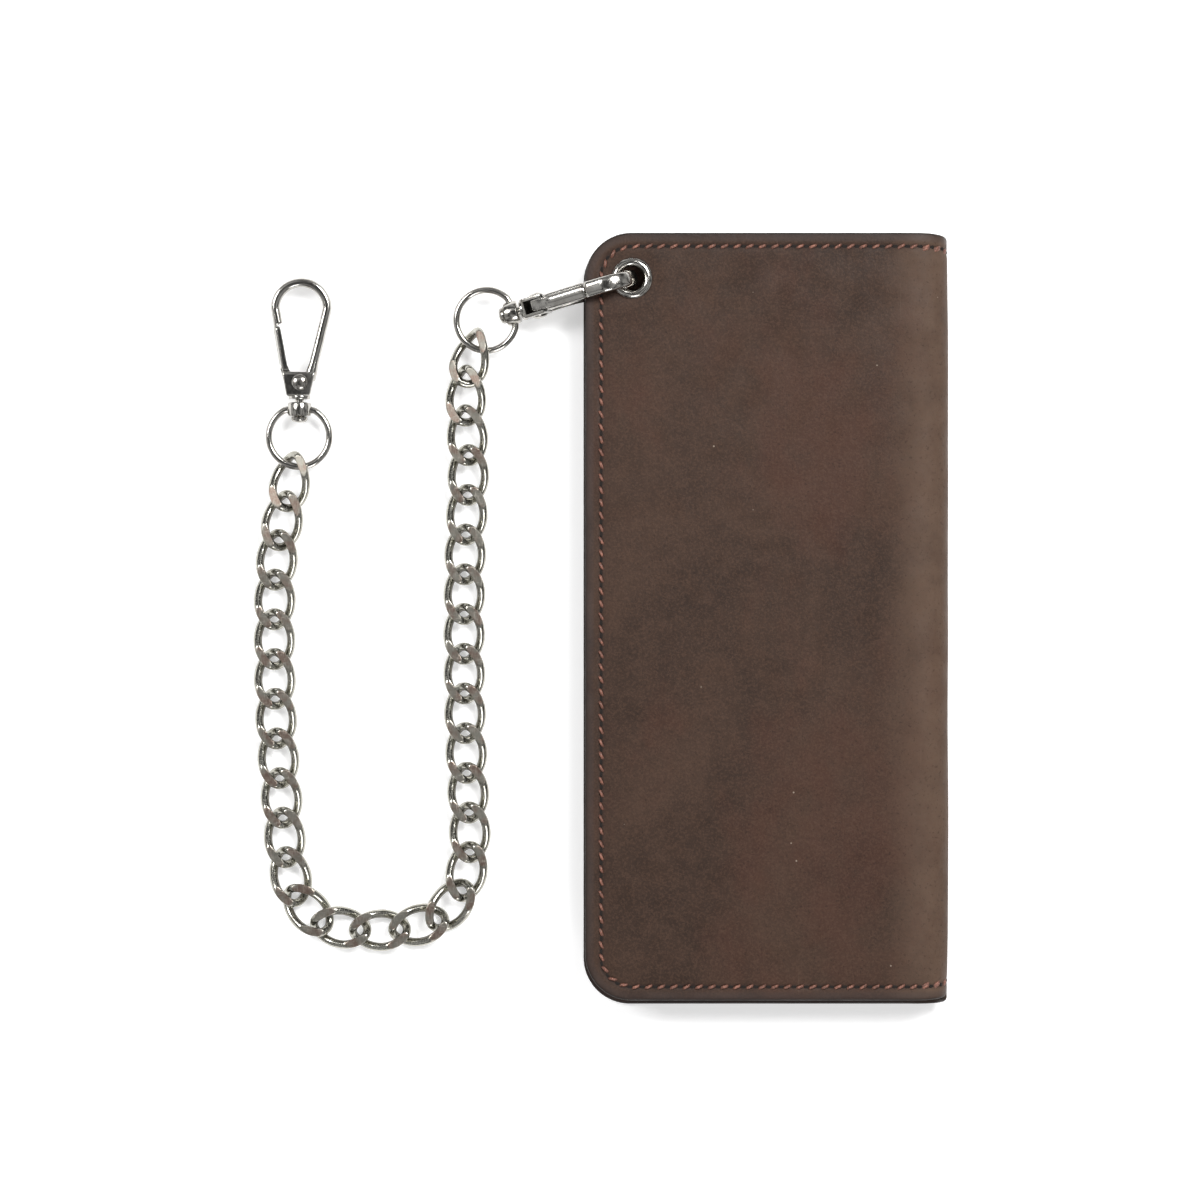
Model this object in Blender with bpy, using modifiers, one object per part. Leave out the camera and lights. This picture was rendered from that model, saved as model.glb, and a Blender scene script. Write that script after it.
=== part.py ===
"""Long leather chain wallet: a folded leather wallet with card and coin pockets, an eyelet in one
corner, and a curb chain that carries a swivel snap hook at each end.

Frame: metres, +Z up.  The closed wallet lies on its back cover on z = 0, with its fold towards +X and
its long side along Y.  The origin is the middle of the back cover's underside.
"""

import math

import bmesh
import bpy
import numpy as np
from mathutils import Matrix, Vector

MM = 0.001
WELD = 0.002 * MM                # points closer than this are one

# ---- wallet: driving sizes ----------------------------------------------------------------------
WALLET_WIDTH = 90.0 * MM        # closed, open edge to fold
WALLET_HEIGHT = 190.0 * MM      # along the fold
WALLET_THICKNESS = 13.0 * MM    # closed, over both covers
CORNER_RADIUS = 11.0 * MM       # outer corners of both halves
COVER_THICKNESS = 1.6 * MM
LINING_THICKNESS = 0.8 * MM
COVER_SETBACK = 0.8 * MM        # the front cover stops short of the back one on its open edges
LAYER_GAP = 0.25 * MM           # between two leather layers that are sewn together
SEAM_ROOM = 0.6 * MM            # inner layers stop short of the covers' edge
HINGE_INSET = 2.6 * MM          # fold lines lie this far in from the fold's face and from each cover
FOLD_GAP = 0.15 * MM            # each leather panel stops this far from a fold line

# ---- pockets ------------------------------------------------------------------------------------
CARD_POCKETS = 4
CARD_POCKET_THICKNESS = 0.6 * MM
CARD_POCKET_GAP = 0.15 * MM
CARD_POCKET_STEP = 13.0 * MM    # how much of each card pocket shows past the next one
CARD_POCKET_MOUTH = 12.0 * MM   # the deepest pocket's mouth, from the fold line
HOOK_CORNER_CUT = 30.0 * MM     # leg of the corner that the pockets leave free for the hook
COIN_LEAF_THICKNESS = 0.4 * MM
COIN_FACE_THICKNESS = 0.7 * MM
ZIP_FROM_FOLD = 21.0 * MM       # zip's middle line, from the fold line
ZIP_END_ROOM = 15.0 * MM        # the zip's slot stops this far from the coin pocket's ends
ZIP_SLOT_WIDTH = 8.0 * MM
ZIP_TEETH_WIDTH = 1.6 * MM      # of one row of teeth
ZIP_TEETH_THICKNESS = 1.4 * MM
ZIP_TEETH_GAP = 0.9 * MM        # between the two rows, where the slider's web runs
ZIP_TAPE_THICKNESS = 0.2 * MM
ZIP_TAPE_WIDTH = 6.0 * MM
SLIDER_LENGTH = 8.0 * MM
SLIDER_WIDTH = 6.2 * MM
SLIDER_PLATE = 0.4 * MM
SLIDER_CLEARANCE = 0.15 * MM
BRIDGE_BAR = 0.8 * MM           # of the bridge that holds the pull
PULL_LENGTH = 17.0 * MM
PULL_WIDTH = 5.0 * MM
PULL_THICKNESS = 0.7 * MM

# ---- eyelet -------------------------------------------------------------------------------------
EYELET_FROM_EDGE = 12.0 * MM    # eyelet's middle, from the open edge
EYELET_FROM_TOP = 11.2 * MM     # and from the top edge
EYELET_HOLE_RADIUS = 3.0 * MM
EYELET_WALL = 0.35 * MM
EYELET_FLANGE_RADIUS = 5.05 * MM
EYELET_FLANGE_THICKNESS = 0.45 * MM
EYELET_CLEARANCE = 0.2 * MM

# ---- snap hooks ---------------------------------------------------------------------------------
HOOK_ARCH_RADIUS = 7.6 * MM     # outside of the loop's round end
HOOK_BAR = 2.3 * MM             # bar thickness, in the plane of the loop
HOOK_BAR_DEPTH = 4.1 * MM       # bar width, across the plane of the loop
HOOK_ARCH_AT = 21.85 * MM       # arch's centre, from the foot of the hook's body
HOOK_BODY_LENGTH = 6.1 * MM
HOOK_BODY_DEPTH = 5.0 * MM
HOOK_BODY_FOOT = 2.95 * MM      # half width of the body at its foot
HOOK_BODY_TOP = 4.1 * MM        # and at its top
HOOK_NOSE_AT = 17.6 * MM        # the nose ends here, from the foot
NOSE_SLANT = 0.75 * MM          # its end slants back this far, so that the gate's tip swings past
GATE_NOSE_GAP = 0.35 * MM
GATE_DEPTH = 4.1 * MM
GATE_BAR = 2.0 * MM
GATE_WALL = 0.5 * MM
GATE_EAR_THICKNESS = 0.5 * MM
GATE_EAR_SPREAD = 0.60 * MM     # from the hook's middle plane to each ear's inner face
GATE_EAR_RADIUS = 1.6 * MM
SLOT_CLEARANCE = 0.2 * MM
PIVOT_AT = 3.5 * MM             # rivet, from the foot
RIVET_RADIUS = 0.6 * MM
RIVET_HEAD_RADIUS = 2.0 * MM
RIVET_HEAD_HEIGHT = 0.7 * MM
PIN_CLEARANCE = 0.12 * MM
SPRING_WIRE = 0.15 * MM         # radius
SPRING_COIL = 1.0 * MM          # radius of the coil's middle line
SPRING_TURNS = 2
STEM_RADIUS = 1.05 * MM
FLANGE_RADIUS = 2.7 * MM
FLANGE_HEIGHT = 0.7 * MM
SWIVEL_GAP = 0.8 * MM           # flange to swivel block
SWIVEL_RADIUS = 2.95 * MM
SWIVEL_HEIGHT = 3.4 * MM
SWIVEL_CLEARANCE = 0.3 * MM
KNOB_RADIUS = 2.1 * MM
KNOB_HEIGHT = 1.4 * MM

# ---- rings --------------------------------------------------------------------------------------
RING_RADIUS = 7.5 * MM          # of the wire's middle line
RING_WIRE = 0.87 * MM           # radius
RING_PIN_DEPTH = 1.1 * MM       # how far the ring's ends reach into the swivel block
RING_HOLE_CLEARANCE = 0.33 * MM

# ---- chain --------------------------------------------------------------------------------------
LINK_COUNT = 30
LINK_LENGTH = 15.6 * MM
LINK_WIDTH = 10.5 * MM
LINK_WIRE = 1.1 * MM            # radius
LINK_TWIST = math.radians(45)   # each end, away from the link's own plane
LINK_SQUARENESS = 2.3           # 2 is an ellipse; more is boxier
LINK_HALF_HEIGHT = 2.0 * MM     # the links are ground flat to this on both faces
LINK_PITCH = 9.85 * MM
LINK_ON_RING = 3.9 * MM         # from an end link's middle to the wire of the ring it hangs on
LINK_SEGMENTS = 18

# The chain's route as it lies, in link pitches from ring A's middle: down beside the wallet, round a
# bend, and back up on the far side.  Right is +X, up is +Y.
CHAIN_ROUTE = (
    (-0.38, -0.91), (-0.50, -1.35), (-0.57, -1.90), (-0.49, -2.80), (-0.45, -3.75), (-0.54, -5.75),
    (-0.57, -7.75), (-0.55, -9.80), (-0.48, -11.85), (-0.41, -12.90), (-0.47, -13.93),
    (-0.85, -14.86), (-1.60, -15.28), (-2.63, -15.40), (-3.62, -15.35), (-4.50, -15.05),
    (-4.99, -14.10), (-5.08, -13.10), (-5.18, -12.10), (-5.32, -10.10), (-5.36, -8.05),
    (-5.32, -6.05), (-5.14, -5.04), (-4.95, -4.06),
)
# How far the chain's first and last joints lie above its own level, from ring A on and up to ring B,
# and how far in degrees the links near each ring roll about their own long axis to pass the ring.
CHAIN_START_HEIGHTS = (2.2 * MM, 1.6 * MM, 1.1 * MM, 0.7 * MM, 0.35 * MM, 0.1 * MM)
CHAIN_END_HEIGHTS = (0.2 * MM, 0.6 * MM, 1.1 * MM)
CHAIN_START_ROLLS = (28, 17, 9, 3)
CHAIN_END_ROLLS = (-8, -15)

# ---- poses at rest ------------------------------------------------------------------------------
HOOK_A_HEADING = math.radians(15.3)     # hook A's axis in plan, from +X
HOOK_A_TILT = math.radians(12)          # its foot hangs lower than its arch
HOOK_A_ARCH_PAST_EYELET = 0.1 * MM      # arch's middle line, past the eyelet's middle
HOOK_A_LIFT = 0.25 * MM                 # arch's end, above the middle of the leather it hangs in
RING_A_TILT = math.radians(6.5)         # ring A leans down from its swivel towards the table
HOOK_B_HEADING = math.radians(89)
TUBE_SIDES_FINE = 2                     # bevel_resolution: eight sides
TUBE_SIDES_LINK = 1                     # six sides

# ---- worked-out places --------------------------------------------------------------------------
OPEN_EDGE_X = -WALLET_WIDTH / 2
TOP_Y = WALLET_HEIGHT / 2
FOLD_X = WALLET_WIDTH / 2 - HINGE_INSET
CHAIN_Z = LINK_HALF_HEIGHT
EYELET = Vector((OPEN_EDGE_X + EYELET_FROM_EDGE, TOP_Y - EYELET_FROM_TOP, 0))
FRONT_SLAB_MID_Z = WALLET_THICKNESS - (COVER_THICKNESS + LAYER_GAP + LINING_THICKNESS) / 2
ARCH_MIDLINE_RADIUS = HOOK_ARCH_RADIUS - HOOK_BAR / 2
ARCH_END = HOOK_ARCH_AT + ARCH_MIDLINE_RADIUS
SWIVEL_MID = -(FLANGE_HEIGHT + SWIVEL_GAP + SWIVEL_HEIGHT / 2)

# ---- materials: colour, roughness, metallic -----------------------------------------------------
FINISHES = {
    "cover_leather": ((0.075, 0.046, 0.032, 1), 0.62, 0.0),
    "lining_leather": ((0.060, 0.036, 0.025, 1), 0.7, 0.0),
    "pocket_leather": ((0.070, 0.042, 0.029, 1), 0.65, 0.0),
    "coin_cloth": ((0.03, 0.026, 0.022, 1), 0.9, 0.0),
    "zip_tape": ((0.02, 0.017, 0.015, 1), 0.9, 0.0),
    "nickel": ((0.62, 0.60, 0.56, 1), 0.22, 1.0),
    "aged_nickel": ((0.42, 0.40, 0.36, 1), 0.33, 1.0),
    "spring_steel": ((0.35, 0.35, 0.36, 1), 0.4, 1.0),
}


# ---- scene and small tools ----------------------------------------------------------------------
def clear_scene():
    """Remove every object that the file opened with."""
    for obj in list(bpy.data.objects):
        bpy.data.objects.remove(obj, do_unlink=True)


def new_collection(name):
    """A collection linked to the scene."""
    collection = bpy.data.collections.new(name)
    bpy.context.scene.collection.children.link(collection)
    return collection


def make_material(name):
    """A Principled BSDF with the finish's colour, roughness and metallic value."""
    colour, roughness, metallic = FINISHES[name]
    material = bpy.data.materials.new(name)
    material.use_nodes = True
    shader = material.node_tree.nodes["Principled BSDF"]
    shader.inputs["Base Color"].default_value = colour
    shader.inputs["Roughness"].default_value = roughness
    shader.inputs["Metallic"].default_value = metallic
    material.diffuse_color = colour
    return material


def add_mesh(name, mesh, finish, cutter=False):
    """Put a mesh in the scene as a part, or as a cutter that the build leaves out.

    Its points are kept in millimetres under a scale of a thousandth, so that Booleans keep their
    accuracy on pieces this small."""
    mesh.transform(Matrix.Scale(1 / MM, 4))
    obj = bpy.data.objects.new(name, mesh)
    obj.scale = (MM, MM, MM)
    if cutter:
        CUTTERS.objects.link(obj)
        obj.hide_render = True
        obj.display_type = "WIRE"
    else:
        PARTS.objects.link(obj)
        mesh.materials.clear()
        mesh.materials.append(MATERIALS[finish])
    return obj


def mesh_from_curve(name, curve, matrix):
    """Turn a curve into a closed mesh in place, with its loose caps welded."""
    source = bpy.data.objects.new(name + "_curve", curve)
    bpy.context.scene.collection.objects.link(source)
    bpy.context.view_layer.update()
    evaluated = source.evaluated_get(bpy.context.evaluated_depsgraph_get())
    mesh = bpy.data.meshes.new_from_object(evaluated)
    mesh.name = name
    bpy.data.objects.remove(source, do_unlink=True)
    bpy.data.curves.remove(curve)
    bm = bmesh.new()
    bm.from_mesh(mesh)
    bmesh.ops.transform(bm, matrix=matrix, verts=bm.verts)
    bmesh.ops.remove_doubles(bm, verts=bm.verts, dist=WELD)
    bmesh.ops.recalc_face_normals(bm, faces=bm.faces)
    bm.to_mesh(mesh)
    bm.free()
    return mesh


def flat_piece(name, outlines, depth, matrix, finish, cutter=False):
    """Flat outlines, the first one solid and the others holes, with z from 0 to depth, then placed."""
    if len(outlines) == 1:
        mesh = prism_mesh(name, outlines[0], depth, matrix)
    else:
        mesh = pierced_mesh(name, outlines, depth, matrix)
    return add_mesh(name, mesh, finish, cutter)


def prism_mesh(name, outline, depth, matrix):
    """One flat face on the outline, extruded to its depth."""
    mesh = bpy.data.meshes.new(name)
    bm = bmesh.new()
    face = bm.faces.new([bm.verts.new((x, y, 0)) for x, y in outline])
    extruded = bmesh.ops.extrude_face_region(bm, geom=[face])["geom"]
    top = [item for item in extruded if isinstance(item, bmesh.types.BMVert)]
    bmesh.ops.translate(bm, vec=(0, 0, depth), verts=top)
    bmesh.ops.transform(bm, matrix=matrix, verts=bm.verts)
    bmesh.ops.recalc_face_normals(bm, faces=bm.faces)
    bm.to_mesh(mesh)
    bm.free()
    return mesh


def pierced_mesh(name, outlines, depth, matrix):
    """A flat curve with holes, filled in millimetres because the fill merges points that are close."""
    curve = bpy.data.curves.new(name, "CURVE")
    curve.dimensions = "2D"
    curve.fill_mode = "BOTH"
    curve.extrude = depth / MM / 2
    for outline in outlines:
        spline = curve.splines.new("POLY")
        spline.points.add(len(outline) - 1)
        for point, place in zip(spline.points, outline):
            point.co = (place[0] / MM, place[1] / MM, 0, 1)
        spline.use_cyclic_u = True
    lift = Matrix.Translation((0, 0, depth / 2)) @ Matrix.Scale(MM, 4)
    return mesh_from_curve(name, curve, matrix @ lift)


def wire_mesh(name, points, radius, cyclic, sides, matrix):
    """A round wire along the points, with filled ends where it isn't a loop."""
    curve = bpy.data.curves.new(name, "CURVE")
    curve.dimensions = "3D"
    curve.bevel_depth = radius
    curve.bevel_resolution = sides
    curve.use_fill_caps = not cyclic
    curve.resolution_u = 1
    curve.render_resolution_u = 0
    spline = curve.splines.new("POLY")
    spline.points.add(len(points) - 1)
    for point, place in zip(spline.points, points):
        point.co = (*place, 1)
    spline.use_cyclic_u = cyclic
    return mesh_from_curve(name, curve, matrix)


def turned_mesh(name, profile, matrix, steps=16):
    """A profile of (radius, height), top to bottom, turned round the local Z axis."""
    mesh = bpy.data.meshes.new(name)
    points = [(radius, 0, height) for radius, height in profile]
    mesh.from_pydata(points, [(i, i + 1) for i in range(len(points) - 1)], [])
    source = bpy.data.objects.new(name + "_profile", mesh)
    bpy.context.scene.collection.objects.link(source)
    screw = source.modifiers.new("turn", "SCREW")
    screw.steps = steps
    screw.render_steps = steps
    screw.use_merge_vertices = True
    screw.merge_threshold = WELD
    bpy.context.view_layer.update()
    evaluated = source.evaluated_get(bpy.context.evaluated_depsgraph_get())
    turned = bpy.data.meshes.new_from_object(evaluated)
    turned.name = name
    bpy.data.objects.remove(source, do_unlink=True)
    bpy.data.meshes.remove(mesh)
    bm = bmesh.new()
    bm.from_mesh(turned)
    bmesh.ops.remove_doubles(bm, verts=bm.verts, dist=WELD)
    bmesh.ops.recalc_face_normals(bm, faces=bm.faces)
    bmesh.ops.transform(bm, matrix=matrix, verts=bm.verts)
    bm.to_mesh(turned)
    bm.free()
    return turned


def round_cutter(name, radius, start, end, sides=12):
    """A round bar from start to end, for cutting a hole."""
    axis = Vector(end) - Vector(start)
    mesh = bpy.data.meshes.new(name)
    bm = bmesh.new()
    bmesh.ops.create_cone(
        bm, cap_ends=True, segments=sides, radius1=radius, radius2=radius, depth=axis.length
    )
    turn = Vector((0, 0, 1)).rotation_difference(axis).to_matrix().to_4x4()
    middle = Matrix.Translation((Vector(start) + Vector(end)) / 2)
    bmesh.ops.transform(bm, matrix=middle @ turn, verts=bm.verts)
    bm.to_mesh(mesh)
    bm.free()
    return add_mesh(name, mesh, None, cutter=True)


def combine(obj, other, operation):
    """Cut other from obj, or join it to obj."""
    modifier = obj.modifiers.new(other.name, "BOOLEAN")
    modifier.operation = operation
    modifier.object = other
    modifier.solver = "EXACT"


def arc(centre, radius, start, end, steps):
    """Points on an arc, in degrees, both ends included."""
    angles = np.radians(np.linspace(start, end, steps + 1))
    return [(centre[0] + radius * math.cos(a), centre[1] + radius * math.sin(a)) for a in angles]


# ---- the leather wallet -------------------------------------------------------------------------
def panel_outline(left, right, bottom, top, radius, corner_cut=0):
    """A panel with round corners on its open edge, or a straight cut across the top one."""
    points = [(right, bottom), (right, top)]
    if corner_cut:
        points += [(left + corner_cut, top), (left, top - corner_cut)]
    else:
        points += arc((left + radius, top - radius), radius, 90, 180, 5)
    return points + arc((left + radius, bottom + radius), radius, 180, 270, 5)


def leather_panel(name, z_low, thickness, finish, setback, right=None, holes=(), corner_cut=0):
    """One flat leather layer, set back from the back cover's open edges."""
    outline = panel_outline(
        OPEN_EDGE_X + setback,
        FOLD_X - FOLD_GAP if right is None else right,
        -TOP_Y + setback,
        TOP_Y - (setback if setback > COVER_SETBACK else 0),
        CORNER_RADIUS - setback,
        corner_cut,
    )
    return flat_piece(name, [outline, *holes], thickness, Matrix.Translation((0, 0, z_low)), finish)


def make_back_half():
    """Cover, lining and the stepped card pockets of the half that lies down."""
    leather_panel("back_cover", 0, COVER_THICKNESS, "cover_leather", 0)
    z_low = COVER_THICKNESS + LAYER_GAP
    inner_right = FOLD_X - SEAM_ROOM
    leather_panel("back_lining", z_low, LINING_THICKNESS, "lining_leather", SEAM_ROOM, inner_right)
    z_low += LINING_THICKNESS + LAYER_GAP
    for number in range(CARD_POCKETS):
        mouth = FOLD_X - CARD_POCKET_MOUTH - number * CARD_POCKET_STEP
        leather_panel(
            f"card_pocket_{number + 1}", z_low, CARD_POCKET_THICKNESS, "pocket_leather",
            SEAM_ROOM, mouth, corner_cut=HOOK_CORNER_CUT,
        )
        z_low += CARD_POCKET_THICKNESS + CARD_POCKET_GAP


def make_spine():
    """The strip of cover leather between the two fold lines."""
    strip = [
        (WALLET_WIDTH / 2 - COVER_THICKNESS, HINGE_INSET + FOLD_GAP),
        (WALLET_WIDTH / 2, HINGE_INSET + FOLD_GAP),
        (WALLET_WIDTH / 2, WALLET_THICKNESS - HINGE_INSET - FOLD_GAP),
        (WALLET_WIDTH / 2 - COVER_THICKNESS, WALLET_THICKNESS - HINGE_INSET - FOLD_GAP),
    ]
    upright = Matrix(((1, 0, 0, 0), (0, 0, -1, TOP_Y), (0, 1, 0, 0), (0, 0, 0, 1)))
    flat_piece("spine", [strip], WALLET_HEIGHT, upright, "cover_leather")


def make_front_half():
    """Cover and lining of the half that opens, with the hole that the eyelet sits in."""
    hole = EYELET_HOLE_RADIUS + EYELET_WALL + EYELET_CLEARANCE
    holes = [arc(EYELET, hole, 0, 345, 23)]
    cover_low = WALLET_THICKNESS - COVER_THICKNESS
    leather_panel("front_cover", cover_low, COVER_THICKNESS, "cover_leather", COVER_SETBACK, holes=holes)
    leather_panel(
        "front_lining", cover_low - LAYER_GAP - LINING_THICKNESS, LINING_THICKNESS, "lining_leather",
        COVER_SETBACK + SEAM_ROOM, FOLD_X - SEAM_ROOM, holes,
    )


def make_eyelet():
    """A flanged tube from the front, with a washer under its turned-over end on the inside."""
    top = WALLET_THICKNESS + EYELET_CLEARANCE / 2
    lining_low = WALLET_THICKNESS - COVER_THICKNESS - LAYER_GAP - LINING_THICKNESS
    washer_top = lining_low - EYELET_CLEARANCE / 2
    wall = EYELET_HOLE_RADIUS + EYELET_WALL
    bottom = washer_top - EYELET_FLANGE_THICKNESS - EYELET_CLEARANCE
    flange_top = top + EYELET_FLANGE_THICKNESS
    profile = [
        (EYELET_HOLE_RADIUS, flange_top), (EYELET_FLANGE_RADIUS * 0.82, flange_top + 0.2 * MM),
        (EYELET_FLANGE_RADIUS, top + EYELET_FLANGE_THICKNESS / 2), (EYELET_FLANGE_RADIUS, top),
        (wall, top), (wall, bottom), (EYELET_HOLE_RADIUS, bottom), (EYELET_HOLE_RADIUS, flange_top),
    ]
    place = Matrix.Translation(EYELET)
    add_mesh("eyelet", turned_mesh("eyelet", profile, place, 24), "nickel")
    bore = wall + EYELET_CLEARANCE
    washer = [
        (bore, washer_top), (EYELET_FLANGE_RADIUS, washer_top),
        (EYELET_FLANGE_RADIUS, washer_top - EYELET_FLANGE_THICKNESS),
        (bore, washer_top - EYELET_FLANGE_THICKNESS), (bore, washer_top),
    ]
    add_mesh("eyelet_washer", turned_mesh("eyelet_washer", washer, place, 24), "nickel")


def make_coin_pocket():
    """A thin back leaf and a leather face with a long slot, closed by a zip."""
    lining_low = WALLET_THICKNESS - COVER_THICKNESS - LAYER_GAP - LINING_THICKNESS
    setback = COVER_SETBACK + SEAM_ROOM
    right = FOLD_X - SEAM_ROOM
    leaf_low = lining_low - 0.15 * MM - COIN_LEAF_THICKNESS
    leather_panel(
        "coin_pocket_back", leaf_low, COIN_LEAF_THICKNESS, "coin_cloth", setback, right,
        corner_cut=HOOK_CORNER_CUT,
    )
    zip_x = FOLD_X - ZIP_FROM_FOLD
    slot_end = TOP_Y - setback - ZIP_END_ROOM
    half_slot = ZIP_SLOT_WIDTH / 2
    slot = arc((zip_x, slot_end - half_slot), half_slot, 0, 180, 6)
    slot += arc((zip_x, half_slot - slot_end), half_slot, 180, 360, 6)
    plate_room = SLIDER_PLATE + 2 * SLIDER_CLEARANCE
    teeth_high = leaf_low - plate_room + SLIDER_CLEARANCE / 2
    teeth_low = teeth_high - ZIP_TEETH_THICKNESS
    tape_low = teeth_high - ZIP_TAPE_THICKNESS
    face_low = tape_low - SLIDER_CLEARANCE - COIN_FACE_THICKNESS
    leather_panel(
        "coin_pocket_face", face_low, COIN_FACE_THICKNESS, "pocket_leather", setback, right,
        holes=[slot], corner_cut=HOOK_CORNER_CUT,
    )
    for side, name in ((-1, "zip_side_left"), (1, "zip_side_right")):
        near = side * ZIP_TEETH_GAP / 2
        far = near + side * ZIP_TEETH_WIDTH
        edge = near + side * ZIP_TAPE_WIDTH
        section = [
            (near, teeth_low), (far, teeth_low), (far, tape_low),
            (edge, tape_low), (edge, teeth_high), (near, teeth_high),
        ]
        zip_end = slot_end - half_slot / 4
        along = Matrix(((1, 0, 0, zip_x), (0, 0, -1, zip_end), (0, 1, 0, 0), (0, 0, 0, 1)))
        flat_piece(name, [section], 2 * zip_end, along, "zip_tape")
    make_slider(zip_x, slot_end - half_slot - SLIDER_LENGTH, teeth_low, teeth_high)


def make_slider(zip_x, y_end, teeth_low, teeth_high):
    """Two plates round the teeth, joined by a web between the rows, with a bridge for the pull."""
    web = ZIP_TEETH_GAP / 2 - SLIDER_CLEARANCE
    half = SLIDER_WIDTH / 2
    high = teeth_high + SLIDER_CLEARANCE
    low = teeth_low - SLIDER_CLEARANCE
    section = [
        (-half, high), (-web, high), (-web, low), (-half, low), (-half, low - SLIDER_PLATE),
        (half, low - SLIDER_PLATE), (half, low), (web, low), (web, high), (half, high),
        (half, high + SLIDER_PLATE), (-half, high + SLIDER_PLATE),
    ]
    along = Matrix(((1, 0, 0, zip_x), (0, 0, -1, y_end), (0, 1, 0, 0), (0, 0, 0, 1)))
    slider = flat_piece("zip_slider", [section], SLIDER_LENGTH, along, "nickel")
    plate = low - SLIDER_PLATE
    bridge_mid = y_end - SLIDER_LENGTH / 2
    reach = SLIDER_LENGTH * 0.32
    drop = PULL_THICKNESS + 3 * SLIDER_CLEARANCE
    half_bar = BRIDGE_BAR / 2
    inner, outer = reach - half_bar, reach + half_bar
    staple = [
        (-outer, plate + SLIDER_PLATE / 2), (-outer, plate - drop - BRIDGE_BAR),
        (outer, plate - drop - BRIDGE_BAR), (outer, plate + SLIDER_PLATE / 2),
        (inner, plate + SLIDER_PLATE / 2), (inner, plate - drop),
        (-inner, plate - drop), (-inner, plate + SLIDER_PLATE / 2),
    ]
    across = Matrix(((0, 0, 1, zip_x - half_bar), (1, 0, 0, bridge_mid), (0, 1, 0, 0), (0, 0, 0, 1)))
    combine(slider, flat_piece("slider_bridge", [staple], BRIDGE_BAR, across, None, True), "UNION")
    pull_high = plate - SLIDER_CLEARANCE
    eye = BRIDGE_BAR * math.sqrt(0.5) + 2 * SLIDER_CLEARANCE
    pivot_y = bridge_mid - reach
    half_pull = PULL_WIDTH / 2
    outline = arc((zip_x, pivot_y), half_pull * 0.8, 0, 180, 8)
    outline += arc((zip_x, pivot_y - PULL_LENGTH + half_pull), half_pull, 180, 360, 8)
    hole = arc((zip_x, pivot_y), eye, 0, 330, 11)
    place = Matrix.Translation((0, 0, pull_high - PULL_THICKNESS))
    flat_piece("zip_pull", [outline, hole], PULL_THICKNESS, place, "nickel")


# ---- snap hooks and rings -----------------------------------------------------------------------
def hook_frame(origin, along, side):
    """World matrix of a hook's own frame: X along the hook, Y across its loop, Z along the rivet."""
    along = Vector(along).normalized()
    side = Vector(side).normalized()
    normal = along.cross(side)
    columns = Matrix((along, side, normal)).transposed().to_4x4()
    return Matrix.Translation(origin) @ columns


def hook_outline():
    """The loop from the body's gate side, round the arch, to the nose, with the gate's gap open."""
    outer = HOOK_ARCH_RADIUS
    inner = outer - HOOK_BAR
    centre = (HOOK_ARCH_AT, 0)
    body = HOOK_BODY_LENGTH
    nose_outer = outer - 1.0 * MM
    points = [(0, -HOOK_BODY_FOOT), (0, HOOK_BODY_FOOT), (body, HOOK_BODY_TOP)]
    points += arc(centre, outer, 90, -90, 14)
    points += [(HOOK_NOSE_AT, -nose_outer), (HOOK_NOSE_AT + NOSE_SLANT, -nose_outer + HOOK_BAR)]
    points += arc(centre, inner, -90, 90, 12)
    points += [(body + 1.2 * MM, HOOK_BODY_TOP - HOOK_BAR), (body, HOOK_BODY_TOP - HOOK_BAR - 0.9 * MM)]
    return points + [(body, -HOOK_BODY_TOP)]


def gate_line():
    """Where the gate starts and ends on its outer side: (along, across) at its foot and its tip."""
    foot = (HOOK_BODY_LENGTH + GATE_NOSE_GAP, -HOOK_BODY_TOP)
    tip = (HOOK_NOSE_AT - GATE_NOSE_GAP, -HOOK_ARCH_RADIUS + 1.0 * MM)
    return foot, tip


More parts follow.
